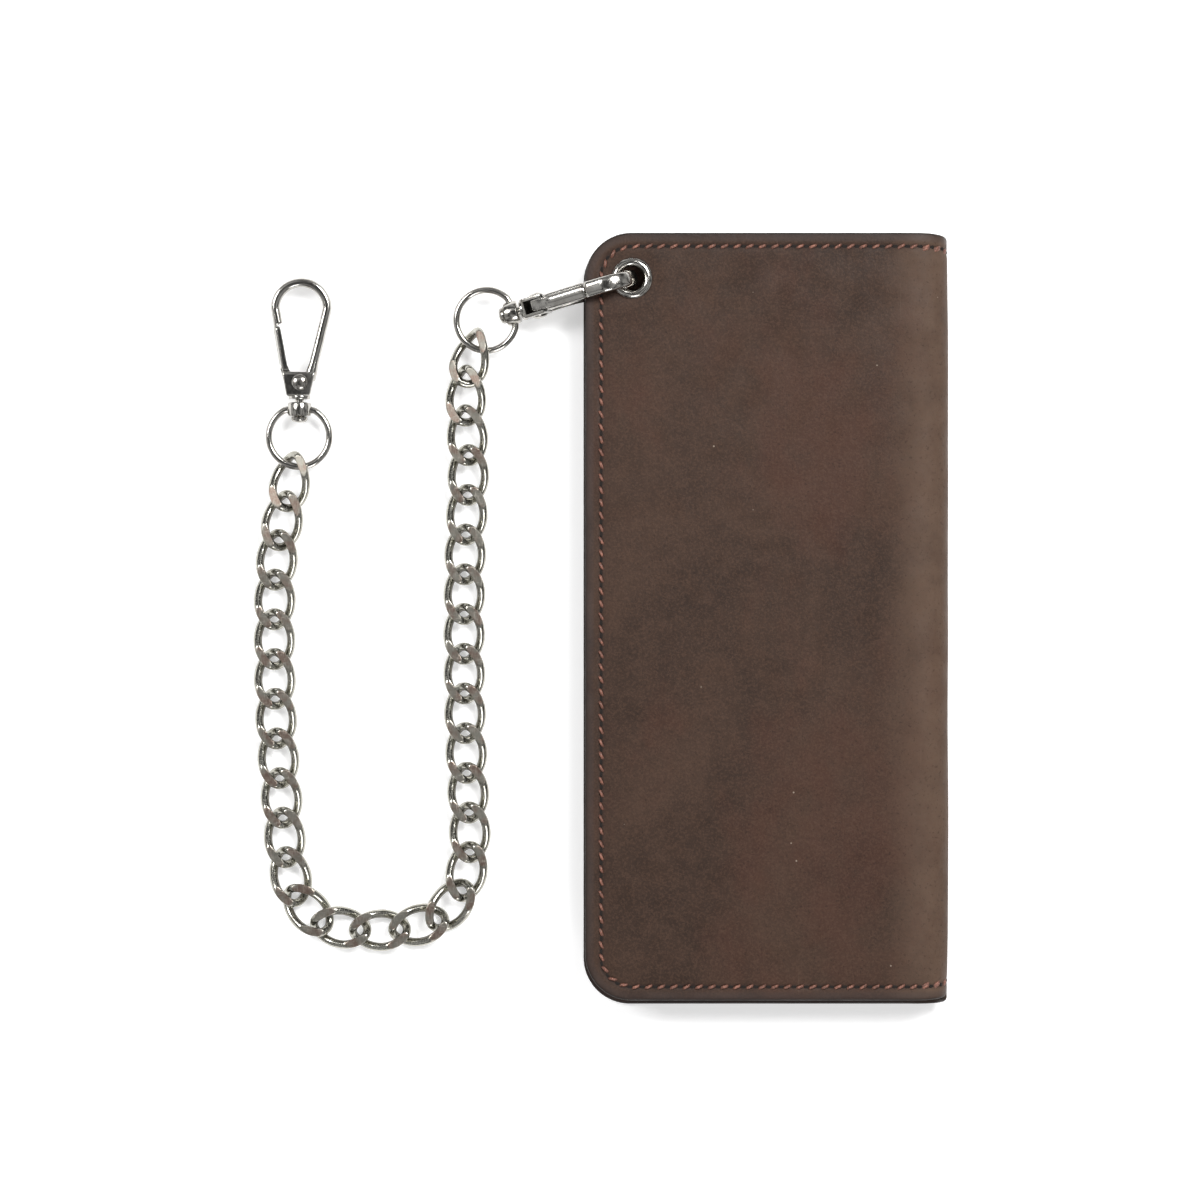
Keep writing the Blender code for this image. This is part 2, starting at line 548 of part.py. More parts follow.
def make_hook_body(suffix, frame):
    """Loop, cheeked body, flange, stem and knob in one piece, slotted for the gate's ears."""
    name = f"hook_body_{suffix}"
    low = frame @ Matrix.Translation((0, 0, -HOOK_BAR_DEPTH / 2))
    body = flat_piece(name, [hook_outline()], HOOK_BAR_DEPTH, low, "nickel")
    cheek = [
        (0.02 * MM, -HOOK_BODY_FOOT), (0.02 * MM, HOOK_BODY_FOOT),
        (HOOK_BODY_LENGTH - 0.02 * MM, HOOK_BODY_TOP), (HOOK_BODY_LENGTH - 0.02 * MM, -HOOK_BODY_TOP),
    ]
    cheek_low = frame @ Matrix.Translation((0, 0, -HOOK_BODY_DEPTH / 2))
    combine(body, flat_piece(f"cheeks_{suffix}", [cheek], HOOK_BODY_DEPTH, cheek_low, None, True), "UNION")
    knob_top = -(FLANGE_HEIGHT + SWIVEL_GAP + SWIVEL_HEIGHT + SWIVEL_CLEARANCE / 2)
    profile = [
        (0, 0.5 * MM), (FLANGE_RADIUS * 0.9, 0.5 * MM), (FLANGE_RADIUS, 0), (FLANGE_RADIUS, -FLANGE_HEIGHT),
        (STEM_RADIUS, -FLANGE_HEIGHT), (STEM_RADIUS, knob_top), (KNOB_RADIUS, knob_top),
        (KNOB_RADIUS * 0.95, knob_top - KNOB_HEIGHT * 0.6), (KNOB_RADIUS * 0.5, knob_top - KNOB_HEIGHT),
        (0, knob_top - KNOB_HEIGHT),
    ]
    upright = frame @ Matrix.Rotation(math.pi / 2, 4, "Y")
    mesh = turned_mesh(f"stem_{suffix}", profile, upright)
    combine(body, add_mesh(f"stem_{suffix}", mesh, None, cutter=True), "UNION")
    slot_half = GATE_EAR_SPREAD + GATE_EAR_THICKNESS + SLOT_CLEARANCE
    reach = GATE_EAR_RADIUS + SLOT_CLEARANCE
    slot = [
        (PIVOT_AT - reach, -2 * HOOK_BODY_TOP), (PIVOT_AT - reach, reach * 0.9),
        (HOOK_BODY_LENGTH + 1 * MM, reach * 0.9), (HOOK_BODY_LENGTH + 1 * MM, -2 * HOOK_BODY_TOP),
    ]
    slot_low = frame @ Matrix.Translation((0, 0, -slot_half))
    combine(body, flat_piece(f"slot_{suffix}", [slot], 2 * slot_half, slot_low, None, True), "DIFFERENCE")
    pivot = frame @ Vector((PIVOT_AT, 0, -HOOK_BODY_DEPTH))
    pivot_end = frame @ Vector((PIVOT_AT, 0, HOOK_BODY_DEPTH))
    hole = round_cutter(f"rivet_hole_{suffix}", RIVET_RADIUS + PIN_CLEARANCE, pivot, pivot_end)
    combine(body, hole, "DIFFERENCE")


def make_gate(suffix, frame):
    """A channel of sheet metal that closes the loop, with two ears on the rivet."""
    foot, tip = gate_line()
    along = Vector((tip[0] - foot[0], tip[1] - foot[1])).normalized()
    across = Vector((-along.y, along.x)) * GATE_BAR
    outer = [foot, tip, (tip[0] + across.x, tip[1] + across.y), (foot[0] + across.x, foot[1] + across.y)]
    low = frame @ Matrix.Translation((0, 0, -GATE_DEPTH / 2))
    gate = flat_piece(f"gate_{suffix}", [outer], GATE_DEPTH, low, "nickel")
    wall = GATE_WALL
    inside = [
        (foot[0] + along.x * wall + across.x * 0.3, foot[1] + along.y * wall + across.y * 0.3),
        (tip[0] - along.x * wall + across.x * 0.3, tip[1] - along.y * wall + across.y * 0.3),
        (tip[0] - along.x * wall + across.x * 1.5, tip[1] - along.y * wall + across.y * 1.5),
        (foot[0] + along.x * wall + across.x * 1.5, foot[1] + along.y * wall + across.y * 1.5),
    ]
    depth = GATE_DEPTH - 2 * wall
    trough_low = frame @ Matrix.Translation((0, 0, -depth / 2))
    trough = flat_piece(f"trough_{suffix}", [inside], depth, trough_low, None, True)
    combine(gate, trough, "DIFFERENCE")
    start = math.degrees(math.atan2(across.y * 0.5 + foot[1], foot[0] - PIVOT_AT)) + 60
    ear = arc((PIVOT_AT, 0), GATE_EAR_RADIUS, start, start + 180, 6)
    ear = [(foot[0] + along.x * 2 * wall, foot[1] + along.y * 2 * wall + across.y * 0.1)] + [
        (foot[0] + across.x * 0.95 + along.x * 2 * wall, foot[1] + across.y * 0.95 + along.y * 2 * wall)
    ] + ear
    for side, label in ((-1, "low"), (1, "high")):
        bottom = side * (GATE_EAR_SPREAD + GATE_EAR_THICKNESS / 2) - GATE_EAR_THICKNESS / 2
        place = frame @ Matrix.Translation((0, 0, bottom))
        ear_name = f"ear_{label}_{suffix}"
        combine(gate, flat_piece(ear_name, [ear], GATE_EAR_THICKNESS, place, None, True), "UNION")
    pivot = frame @ Vector((PIVOT_AT, 0, -HOOK_BODY_DEPTH))
    pivot_end = frame @ Vector((PIVOT_AT, 0, HOOK_BODY_DEPTH))
    hole = round_cutter(f"ear_hole_{suffix}", RIVET_RADIUS + PIN_CLEARANCE, pivot, pivot_end)
    combine(gate, hole, "DIFFERENCE")


def make_rivet_and_spring(suffix, frame):
    """The rivet that the gate turns on, and the coil spring between the gate's ears."""
    face = HOOK_BODY_DEPTH / 2 + PIN_CLEARANCE / 2
    dome = face + RIVET_HEAD_HEIGHT
    half = [
        (0, dome), (RIVET_HEAD_RADIUS * 0.55, dome - 0.12 * MM), (RIVET_HEAD_RADIUS * 0.9, face + 0.3 * MM),
        (RIVET_HEAD_RADIUS, face), (RIVET_RADIUS, face),
    ]
    profile = half + [(radius, -height) for radius, height in reversed(half)]
    place = frame @ Matrix.Translation((PIVOT_AT, 0, 0))
    add_mesh(f"gate_rivet_{suffix}", turned_mesh(f"gate_rivet_{suffix}", profile, place), "nickel")
    points = []
    steps = 8
    rise = 2.2 * SPRING_WIRE
    for step in range(SPRING_TURNS * steps + 1):
        angle = 2 * math.pi * step / steps + math.pi / 2
        lift = rise * (step / steps - SPRING_TURNS / 2)
        points.append((SPRING_COIL * math.cos(angle), SPRING_COIL * math.sin(angle), lift))
    points.insert(0, (-1.2 * SPRING_COIL, SPRING_COIL, points[0][2]))
    mesh = wire_mesh(f"gate_spring_{suffix}", points, SPRING_WIRE, False, TUBE_SIDES_LINK, place)
    add_mesh(f"gate_spring_{suffix}", mesh, "spring_steel")


def make_swivel(suffix, frame, ring_axis):
    """The block that turns on the hook's stem, with a blind hole on each side for the ring's ends."""
    name = f"swivel_{suffix}"
    middle = Matrix.Translation(frame @ Vector((SWIVEL_MID, 0, 0)))
    along = frame.to_3x3().col[0]
    columns = Matrix((ring_axis, along.cross(ring_axis), along)).transposed().to_4x4()
    block_frame = middle @ columns
    mesh = bpy.data.meshes.new(name)
    bm = bmesh.new()
    bmesh.ops.create_cone(
        bm, cap_ends=True, segments=24, radius1=SWIVEL_RADIUS, radius2=SWIVEL_RADIUS, depth=SWIVEL_HEIGHT
    )
    bmesh.ops.transform(bm, matrix=block_frame, verts=bm.verts)
    bm.to_mesh(mesh)
    bm.free()
    block = add_mesh(name, mesh, "nickel")
    bore = STEM_RADIUS + SWIVEL_CLEARANCE
    start = block_frame @ Vector((0, 0, -SWIVEL_HEIGHT))
    end = block_frame @ Vector((0, 0, SWIVEL_HEIGHT))
    combine(block, round_cutter(f"swivel_bore_{suffix}", bore, start, end, 16), "DIFFERENCE")
    hole_start = SWIVEL_RADIUS - RING_PIN_DEPTH - 0.12 * MM
    for side in (-1, 1):
        start = block_frame @ Vector((side * hole_start, 0, 0))
        end = block_frame @ Vector((side * 2 * SWIVEL_RADIUS, 0, 0))
        radius = RING_WIRE + RING_HOLE_CLEARANCE
        cutter = round_cutter(f"ring_hole_{suffix}_{side + 1}", radius, start, end)
        combine(block, cutter, "DIFFERENCE")
    return block_frame


def make_ring(suffix, pivot, ring_axis, away):
    """An open wire ring whose two ends turn in the swivel block; returns its middle."""
    half_mouth = SWIVEL_RADIUS + 0.35 * MM
    reach = math.sqrt(RING_RADIUS ** 2 - half_mouth ** 2)
    mouth = math.degrees(math.asin(half_mouth / RING_RADIUS))
    pin_end = SWIVEL_RADIUS - RING_PIN_DEPTH
    rim = arc((reach, 0), RING_RADIUS, 180 - mouth, -180 + mouth, 26)
    flat = [(0, pin_end), (0, half_mouth * 0.985), *rim[1:-1], (0, -half_mouth * 0.985), (0, -pin_end)]
    away = Vector(away).normalized()
    columns = Matrix((away, ring_axis, away.cross(ring_axis))).transposed().to_4x4()
    frame = Matrix.Translation(pivot) @ columns
    points = [(x, y, 0) for x, y in flat]
    mesh = wire_mesh(f"ring_{suffix}", points, RING_WIRE, False, TUBE_SIDES_FINE, frame)
    add_mesh(f"ring_{suffix}", mesh, "nickel")
    return frame @ Vector((reach, 0, 0))


def make_snap_hook(suffix, frame, ring_axis, ring_away):
    """One whole snap hook with its swivel and ring; returns the ring's middle."""
    make_hook_body(suffix, frame)
    make_gate(suffix, frame)
    make_rivet_and_spring(suffix, frame)
    make_swivel(suffix, frame, ring_axis)
    pivot = frame @ Vector((SWIVEL_MID, 0, 0))
    return make_ring(suffix, pivot, ring_axis, ring_away)


# ---- chain --------------------------------------------------------------------------------------
def link_points():
    """Middle line of one link: a squared ellipse along Y, twisted one way at one end and back at the
    other, so that neighbours can lie flat in each other."""
    half_length = LINK_LENGTH / 2 - LINK_WIRE
    half_width = LINK_WIDTH / 2 - LINK_WIRE
    turn = 2 * math.pi * np.arange(LINK_SEGMENTS) / LINK_SEGMENTS
    power = 2 / LINK_SQUARENESS
    across = half_width * np.sign(np.cos(turn)) * np.abs(np.cos(turn)) ** power
    along = half_length * np.sign(np.sin(turn)) * np.abs(np.sin(turn)) ** power
    twist = LINK_TWIST * along / half_length
    return np.stack([across * np.cos(twist), along, across * np.sin(twist)], axis=1)


def link_mesh():
    """One link's wire, ground flat on both faces."""
    mesh = wire_mesh("link", [tuple(p) for p in link_points()], LINK_WIRE, True, TUBE_SIDES_LINK, Matrix())
    for vertex in mesh.vertices:
        vertex.co.z = max(-LINK_HALF_HEIGHT, min(LINK_HALF_HEIGHT, vertex.co.z))
    return mesh


def smooth_route(ring_middle):
    """A smooth dense path (Catmull-Rom) through the chain's route, in plan."""
    route = np.array(CHAIN_ROUTE) * LINK_PITCH + np.array([ring_middle.x, ring_middle.y])
    route = np.vstack([2 * route[0] - route[1], route, 2 * route[-1] - route[-2]])
    share = np.linspace(0, 1, 40, endpoint=False)[:, None]
    dense = []
    for before, start, end, after in zip(route, route[1:], route[2:], route[3:]):
        dense.append(
            0.5 * (
                2 * start + (end - before) * share
                + (2 * before - 5 * start + 4 * end - after) * share ** 2
                + (3 * start - before - 3 * end + after) * share ** 3
            )
        )
    return np.vstack([*dense, route[-2:-1]])


def chain_joints(ring_middle):
    """The points where neighbouring links meet: even steps along the route, half a step past each
    end, with the first ones raised to reach ring A."""
    path = smooth_route(ring_middle)
    path = np.vstack([path[0] + (path[0] - path[1]) * 40, path, path[-1] + (path[-1] - path[-2]) * 40])
    steps = np.linalg.norm(np.diff(path, axis=0), axis=1)
    length = np.concatenate([[0], np.cumsum(steps)]) - steps[0]
    pitch = (length[-1] - steps[-1]) / (LINK_COUNT - 1)
    places = (np.arange(LINK_COUNT + 1) - 0.5) * pitch
    joints = np.stack([np.interp(places, length, path[:, axis]) for axis in (0, 1)], axis=1)
    heights = np.full(LINK_COUNT + 1, CHAIN_Z)
    heights[:len(CHAIN_START_HEIGHTS)] += CHAIN_START_HEIGHTS
    heights[-len(CHAIN_END_HEIGHTS):] += CHAIN_END_HEIGHTS
    return [Vector(point) for point in np.column_stack([joints, heights])]


def place_chain(ring_middle):
    """One link between each two joints, rolled near the rings; returns the last one's middle and
    heading."""
    joints = chain_joints(ring_middle)
    level_links = LINK_COUNT - len(CHAIN_START_ROLLS) - len(CHAIN_END_ROLLS)
    rolls = [*CHAIN_START_ROLLS, *[0] * level_links, *CHAIN_END_ROLLS]
    mesh = link_mesh()
    for number, (start, end, roll) in enumerate(zip(joints, joints[1:], rolls)):
        heading = (end - start).normalized()
        across = heading.cross(Vector((0, 0, 1))).normalized()
        columns = Matrix((across, heading, across.cross(heading))).transposed()
        turned = columns @ Matrix.Rotation(math.radians(roll), 3, "Y")
        link = add_mesh(f"link_{number + 1:02d}", mesh.copy(), "aged_nickel")
        link.location = (start + end) / 2
        link.rotation_euler = turned.to_euler()
    return (start + end) / 2, heading


# ---- whole object -------------------------------------------------------------------------------
def build():
    """Make every part."""
    make_back_half()
    make_spine()
    make_front_half()
    make_coin_pocket()
    make_eyelet()
    # hook A hangs through the eyelet, loop upright, gate side up, and points up towards the wallet
    along = Vector((
        math.cos(HOOK_A_TILT) * math.cos(HOOK_A_HEADING),
        math.cos(HOOK_A_TILT) * math.sin(HOOK_A_HEADING),
        math.sin(HOOK_A_TILT),
    ))
    level = Vector((-math.sin(HOOK_A_HEADING), math.cos(HOOK_A_HEADING), 0))
    arch_end = EYELET + Vector((0, 0, FRONT_SLAB_MID_Z + HOOK_A_LIFT)) + along * HOOK_A_ARCH_PAST_EYELET
    frame_a = hook_frame(arch_end - along * ARCH_END, along, level.cross(along))
    away = Vector((
        -math.cos(RING_A_TILT) * math.cos(HOOK_A_HEADING),
        -math.cos(RING_A_TILT) * math.sin(HOOK_A_HEADING),
        -math.sin(RING_A_TILT),
    ))
    ring_a = make_snap_hook("a", frame_a, level, away)
    last, heading = place_chain(ring_a)
    # hook B lies flat at the chain's free end
    along = Vector((math.cos(HOOK_B_HEADING), math.sin(HOOK_B_HEADING), 0))
    level = Vector((math.sin(HOOK_B_HEADING), -math.cos(HOOK_B_HEADING), 0))
    ring_b = last + heading * (LINK_ON_RING + RING_RADIUS)
    reach = math.sqrt(RING_RADIUS ** 2 - (SWIVEL_RADIUS + 0.35 * MM) ** 2)
    foot = ring_b + along * (reach - SWIVEL_MID)
    make_snap_hook("b", hook_frame(foot, along, level), level, -along)


clear_scene()
PARTS = new_collection("chain_wallet")
CUTTERS = new_collection("cutters")
MATERIALS = {finish: make_material(finish) for finish in FINISHES}
build()
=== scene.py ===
"""Chain wallet: folded leather, stitching, pockets and zip, an eyelet, two snap hooks and a curb chain.

Lengths in the making are in millimetres; mesh points are written in metres, in the frame's own axes.
"""

import math

import bpy
import numpy as np
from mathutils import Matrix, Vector


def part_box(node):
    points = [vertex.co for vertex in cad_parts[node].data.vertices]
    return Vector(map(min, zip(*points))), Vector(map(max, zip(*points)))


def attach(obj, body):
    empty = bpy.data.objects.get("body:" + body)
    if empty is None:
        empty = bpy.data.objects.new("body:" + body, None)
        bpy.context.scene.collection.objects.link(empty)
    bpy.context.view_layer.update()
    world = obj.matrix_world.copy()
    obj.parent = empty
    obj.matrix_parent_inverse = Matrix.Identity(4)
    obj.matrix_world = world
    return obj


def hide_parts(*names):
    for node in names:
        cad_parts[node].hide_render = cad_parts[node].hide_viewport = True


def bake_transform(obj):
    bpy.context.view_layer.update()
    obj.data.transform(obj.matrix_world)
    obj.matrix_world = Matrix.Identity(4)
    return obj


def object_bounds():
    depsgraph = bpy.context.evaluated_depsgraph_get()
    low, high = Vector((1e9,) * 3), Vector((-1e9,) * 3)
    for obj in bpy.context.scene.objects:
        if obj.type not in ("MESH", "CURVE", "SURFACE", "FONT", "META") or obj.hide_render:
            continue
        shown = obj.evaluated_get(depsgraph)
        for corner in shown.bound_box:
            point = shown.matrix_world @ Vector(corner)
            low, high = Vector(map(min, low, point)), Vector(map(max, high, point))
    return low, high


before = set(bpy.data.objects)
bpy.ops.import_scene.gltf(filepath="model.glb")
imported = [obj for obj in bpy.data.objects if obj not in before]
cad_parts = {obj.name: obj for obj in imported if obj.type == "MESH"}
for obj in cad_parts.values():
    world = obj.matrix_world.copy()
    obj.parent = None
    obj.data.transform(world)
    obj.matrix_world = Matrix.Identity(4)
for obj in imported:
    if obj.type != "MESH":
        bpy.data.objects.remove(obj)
CAD_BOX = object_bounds()
MM = 0.001

# ---- leather sizes, mm ---------------------------------------------------------------------------
HALF_HEIGHT = 95.0          # of the wallet, along the fold
FOLD_FACE = 45.0            # the fold's outermost line, in X
FOLD_ROUND = 11.0           # the covers start to curve this far before it
FOLD_POWER = 2.4            # of the curve: 2 is an ellipse
FOLD_STEPS = 61
THICKNESS = 13.0            # closed
COVER = 1.6                 # leather of the covers
CORNER = 11.5               # radius of the outer corners
FOLD_DROP = 2.0             # the covers' ends are cut back this far at the fold
FOLD_CUT = 11.0             # over this length
FOLD_CUT_SHARE = 0.96       # of the ellipse's quarter that is used, squared
SEAM_INSET = 3.4            # stitch line, from the edges along the ends
SEAM_INSET_SIDE = 4.0       # and from the open edge
SEAM_CORNER_INSET = 0.4     # the seam turns this much tighter than the leather's corner
SEAM_END = 1.2              # the seam stops this far before the fold's middle
STITCH_PITCH = 3.1
STITCH_GAP = 0.44           # from a needle place to the thread, each end
STITCH_SLANT = (0.46, 0.07)     # half the sideways lean, and how much it varies
STITCH_RISE = (0.30, 0.03)      # of the thread's middle above the groove's floor, and how much it varies
STITCH_DIP = 0.55           # how far the ends go down into the leather
SECOND_ROW = 0.5            # the doubled stitches lie this far beside the others
THREAD_RADIUS = 0.40
THREAD_FLAT = 0.8           # the thread is pulled this much flatter than round
THREAD_SIDES = 7
EDGE_ROUND = 0.6

PIVOT_AT = 3.5              # the gate's rivet, from the foot of a snap hook's body


# ---- surfaces ------------------------------------------------------------------------------------
NO_TRIANGLES = np.zeros((0, 3), int)
TIP_RADIUS = 0.001          # a turned shape's ring on its axis


def grid_faces(rows, columns, wrap_rows=False, wrap_columns=False):
    """Quads of a grid of points; a wrapped direction joins its last line to its first."""
    row = np.arange(rows if wrap_rows else rows - 1)
    column = np.arange(columns if wrap_columns else columns - 1)
    row, column = np.meshgrid(row, column, indexing="ij")
    row_next, column_next = (row + 1) % rows, (column + 1) % columns
    corners = [
        row * columns + column, row * columns + column_next,
        row_next * columns + column_next, row_next * columns + column,
    ]
    return np.stack(corners, axis=-1).reshape(-1, 4)


def end_fans(rows, columns):
    """Triangles that close a tube's two ends, to the two middles that follow its points."""
    ring = np.arange(columns)
    after = (ring + 1) % columns
    base = (rows - 1) * columns
    return np.vstack([
        np.stack([np.full(columns, rows * columns), after, ring], axis=1),
        np.stack([np.full(columns, rows * columns + 1), base + ring, base + after], axis=1),
    ])


def swept(path, u, v, a, b, closed=False):
    """A profile carried along a path: at each path point, a along u plus b along v, for each point of
    the profile.  An open path is closed at both ends, towards their middles."""
    rows, columns = a.shape
    points = path[:, None] + a[..., None] * u[:, None] + b[..., None] * v[:, None]
    quads = grid_faces(rows, columns, closed, True)
    if closed:
        return points.reshape(-1, 3), quads, NO_TRIANGLES
    middles = points[[0, -1]].mean(axis=1)
    return np.vstack([points.reshape(-1, 3), middles]), quads, end_fans(rows, columns)


def squared_circle(half_a, half_b, power, sides):
    """Points of |a/half_a|^power + |b/half_b|^power = 1; half_a and half_b may be columns."""
    turn = 2 * np.pi * np.arange(sides) / sides
    share = 2 / power
    a = np.sign(np.cos(turn)) * np.abs(np.cos(turn)) ** share
    b = np.sign(np.sin(turn)) * np.abs(np.sin(turn)) ** share
    return np.asarray(half_a) * a, np.asarray(half_b) * b


def turned(profile, origin, axis, steps=48):
    """A profile of (radius, height) turned about an axis; it starts and ends on the axis."""
    profile = np.array(profile, float)
    axis = unit(axis)
    u = unit(np.cross(axis, [0.3, 0.5, 0.81]))
    v = np.cross(axis, u)
    path = origin + profile[:, 1:] * axis
    turn = 2 * np.pi * np.arange(steps) / steps
    rows = len(profile)
    radius = np.maximum(profile[:, :1], TIP_RADIUS)
    a, b = radius * np.cos(turn), radius * np.sin(turn)
    return swept(path, np.tile(u, (rows, 1)), np.tile(v, (rows, 1)), a, b)


def turned_loop(profile, origin, steps=64):
    """A closed profile of (radius, height) turned about +Z."""
    profile = np.array(profile, float)
    turn = 2 * np.pi * np.arange(steps) / steps
    x = profile[:, :1] * np.cos(turn)
    y = profile[:, :1] * np.sin(turn)
    z = np.repeat(profile[:, 1:], steps, axis=1)
    points = np.stack([x, y, z], axis=-1).reshape(-1, 3) + origin
    return points, grid_faces(len(profile), steps, True, True), NO_TRIANGLES


def smooth_line(points, steps, closed=False):
    """A Catmull-Rom line through points, with steps points to each stretch."""
    points = np.array(points, float)
    if closed:
        points = np.vstack([points[-1:], points, points[:2]])
    else:
        points = np.vstack([2 * points[0] - points[1], points, 2 * points[-1] - points[-2]])
    share = np.linspace(0, 1, steps, endpoint=False)[None, :, None]
    before, start, end, after = (points[i:len(points) - 3 + i][:, None] for i in range(4))
    line = 0.5 * (
        2 * start + (end - before) * share
        + (2 * before - 5 * start + 4 * end - after) * share ** 2
        + (3 * start - before - 3 * end + after) * share ** 3
    )
    line = line.reshape(-1, points.shape[1])
    return line if closed else np.vstack([line, points[-2:-1]])


def unit(vectors):
    """Each row, or one vector, at length 1."""
    vectors = np.asarray(vectors, float)
    return vectors / np.linalg.norm(vectors, axis=-1, keepdims=True)


def piece(name, surface, material, body, nodes=(), blend=None, sharp=None, fields=None, caps=()):
    """A surface as an object that rides on a body, or stays unattached where it is, in place of CAD nodes.
    """
    points, quads, triangles = surface
    mesh = bpy.data.meshes.new(name)
    mesh.from_pydata((points * MM).tolist(), [], quads.tolist() + triangles.tolist() + list(caps))
    points = points - points.mean(axis=0)
    a, b, c, d = (points[quads[:, i]] for i in range(4))
    volume = (np.cross(b, c) * a).sum() + (np.cross(c, d) * a).sum()
    if len(triangles):
        a, b, c = (points[triangles[:, i]] for i in range(3))
        volume += (np.cross(b, c) * a).sum()
    if volume < 0:
        mesh.flip_normals()
    mesh.shade_smooth()
    if sharp:
        mesh.set_sharp_from_angle(angle=math.radians(sharp))
    for field, values in (fields or {}).items():
        layer = mesh.attributes.new(field, "FLOAT", "POINT")
        layer.data.foreach_set("value", np.ascontiguousarray(values, np.float32))
    mesh.materials.append(material)
    obj = bpy.data.objects.new(name, mesh)
    bpy.context.scene.collection.objects.link(obj)
    if blend:
        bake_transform(obj)
    else:
        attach(obj, body)
    if nodes:
        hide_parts(*nodes)
    return obj


# ---- materials -----------------------------------------------------------------------------------
def times(colour, factor):
    """A colour made lighter or darker."""
    return tuple(channel * factor for channel in colour)


class Nodes:
    """A material's node tree, with short calls for the nodes that the finishes use."""

    def __init__(self, name, roughness, metallic=0.0):
        self.material = bpy.data.materials.new(name)
        self.material.use_nodes = True
        self.tree = self.material.node_tree
        self.shader = self.tree.nodes["Principled BSDF"]
        self.shader.inputs["Roughness"].default_value = roughness
        self.shader.inputs["Metallic"].default_value = metallic
        coordinates = self.tree.nodes.new("ShaderNodeTexCoord")
        self.place = coordinates.outputs["Object"]

    def link(self, output, target):
        """Join an output to an input."""
        self.tree.links.new(output, target)

    def set(self, socket, value):
        """A number, a colour or an output on an input."""
        if isinstance(value, bpy.types.NodeSocket):
            self.link(value, socket)
        else:
            socket.default_value = value

    def stretched(self, scale, turn=0.0):
        """Object coordinates, scaled apart along the axes and turned about Z."""
        node = self.tree.nodes.new("ShaderNodeMapping")
        node.inputs["Scale"].default_value = scale
        node.inputs["Rotation"].default_value = (0, 0, math.radians(turn))
        self.link(self.place, node.inputs["Vector"])
        return node.outputs["Vector"]

    def noise(self, scale, detail=3.0, rough=0.5, vector=None, distortion=0.0):
        """Cloudy noise; scale is in cells per metre."""
        node = self.tree.nodes.new("ShaderNodeTexNoise")
        node.inputs["Scale"].default_value = scale
        node.inputs["Detail"].default_value = detail
        node.inputs["Roughness"].default_value = rough
        node.inputs["Distortion"].default_value = distortion
        self.link(vector or self.place, node.inputs["Vector"])
        return node.outputs["Fac"]

    def cells(self, scale, feature="F1", vector=None):
        """Distance to the nearest of scattered points."""
        node = self.tree.nodes.new("ShaderNodeTexVoronoi")
        node.feature = feature
        node.inputs["Scale"].default_value = scale
        self.link(vector or self.place, node.inputs["Vector"])
        return node.outputs["Distance"]

    def field(self, name):
        """A value that the mesh carries on its points."""
        node = self.tree.nodes.new("ShaderNodeAttribute")
        node.attribute_name = name
        return node.outputs["Fac"]

    def math(self, operation, first, second=0.5, clamp=False):
        """A sum, product or other operation on two values."""
        node = self.tree.nodes.new("ShaderNodeMath")
        node.operation = operation
        node.use_clamp = clamp
        self.set(node.inputs[0], first)
        self.set(node.inputs[1], second)
        return node.outputs[0]

    def ramp(self, value, low, high, start=0.0, end=1.0):
        """The value's stretch from low to high, as start to end."""
        node = self.tree.nodes.new("ShaderNodeMapRange")
        node.interpolation_type = "SMOOTHSTEP"
        self.link(value, node.inputs["Value"])
        node.inputs["From Min"].default_value = low
        node.inputs["From Max"].default_value = high
        node.inputs["To Min"].default_value = start
        node.inputs["To Max"].default_value = end
        return node.outputs["Result"]

    def mix(self, share, first, second, kind="MIX"):
        """Two colours, mixed by a share."""
        node = self.tree.nodes.new("ShaderNodeMix")
        node.data_type = "RGBA"
        node.blend_type = kind
        self.set(node.inputs["Factor"], share)
        for socket, value in ((node.inputs[6], first), (node.inputs[7], second)):
            self.set(socket, (*value, 1) if isinstance(value, tuple) else value)
        return node.outputs[2]

    def over(self, under, share, strength, top):
        """A colour laid over another where a value says so, at a strength."""
        return self.mix(self.math("MULTIPLY", share, strength), under, top)

    def relief(self, height, depth, strength=1.0, under=None):
        """A bump of that height field; depth is in metres."""
        node = self.tree.nodes.new("ShaderNodeBump")
        node.inputs["Strength"].default_value = strength
        node.inputs["Distance"].default_value = depth
        self.link(height, node.inputs["Height"])
        if under:
            self.link(under, node.inputs["Normal"])
        return node.outputs["Normal"]

    def finish(self, colour, roughness=None, normal=None):
        """Put the colour, and the roughness and relief if given, on the shader."""
        self.set(self.shader.inputs["Base Color"], (*colour, 1) if isinstance(colour, tuple) else colour)
        if roughness:
            self.link(roughness, self.shader.inputs["Roughness"])
        if normal:
            self.link(normal, self.shader.inputs["Normal"])
        return self.material


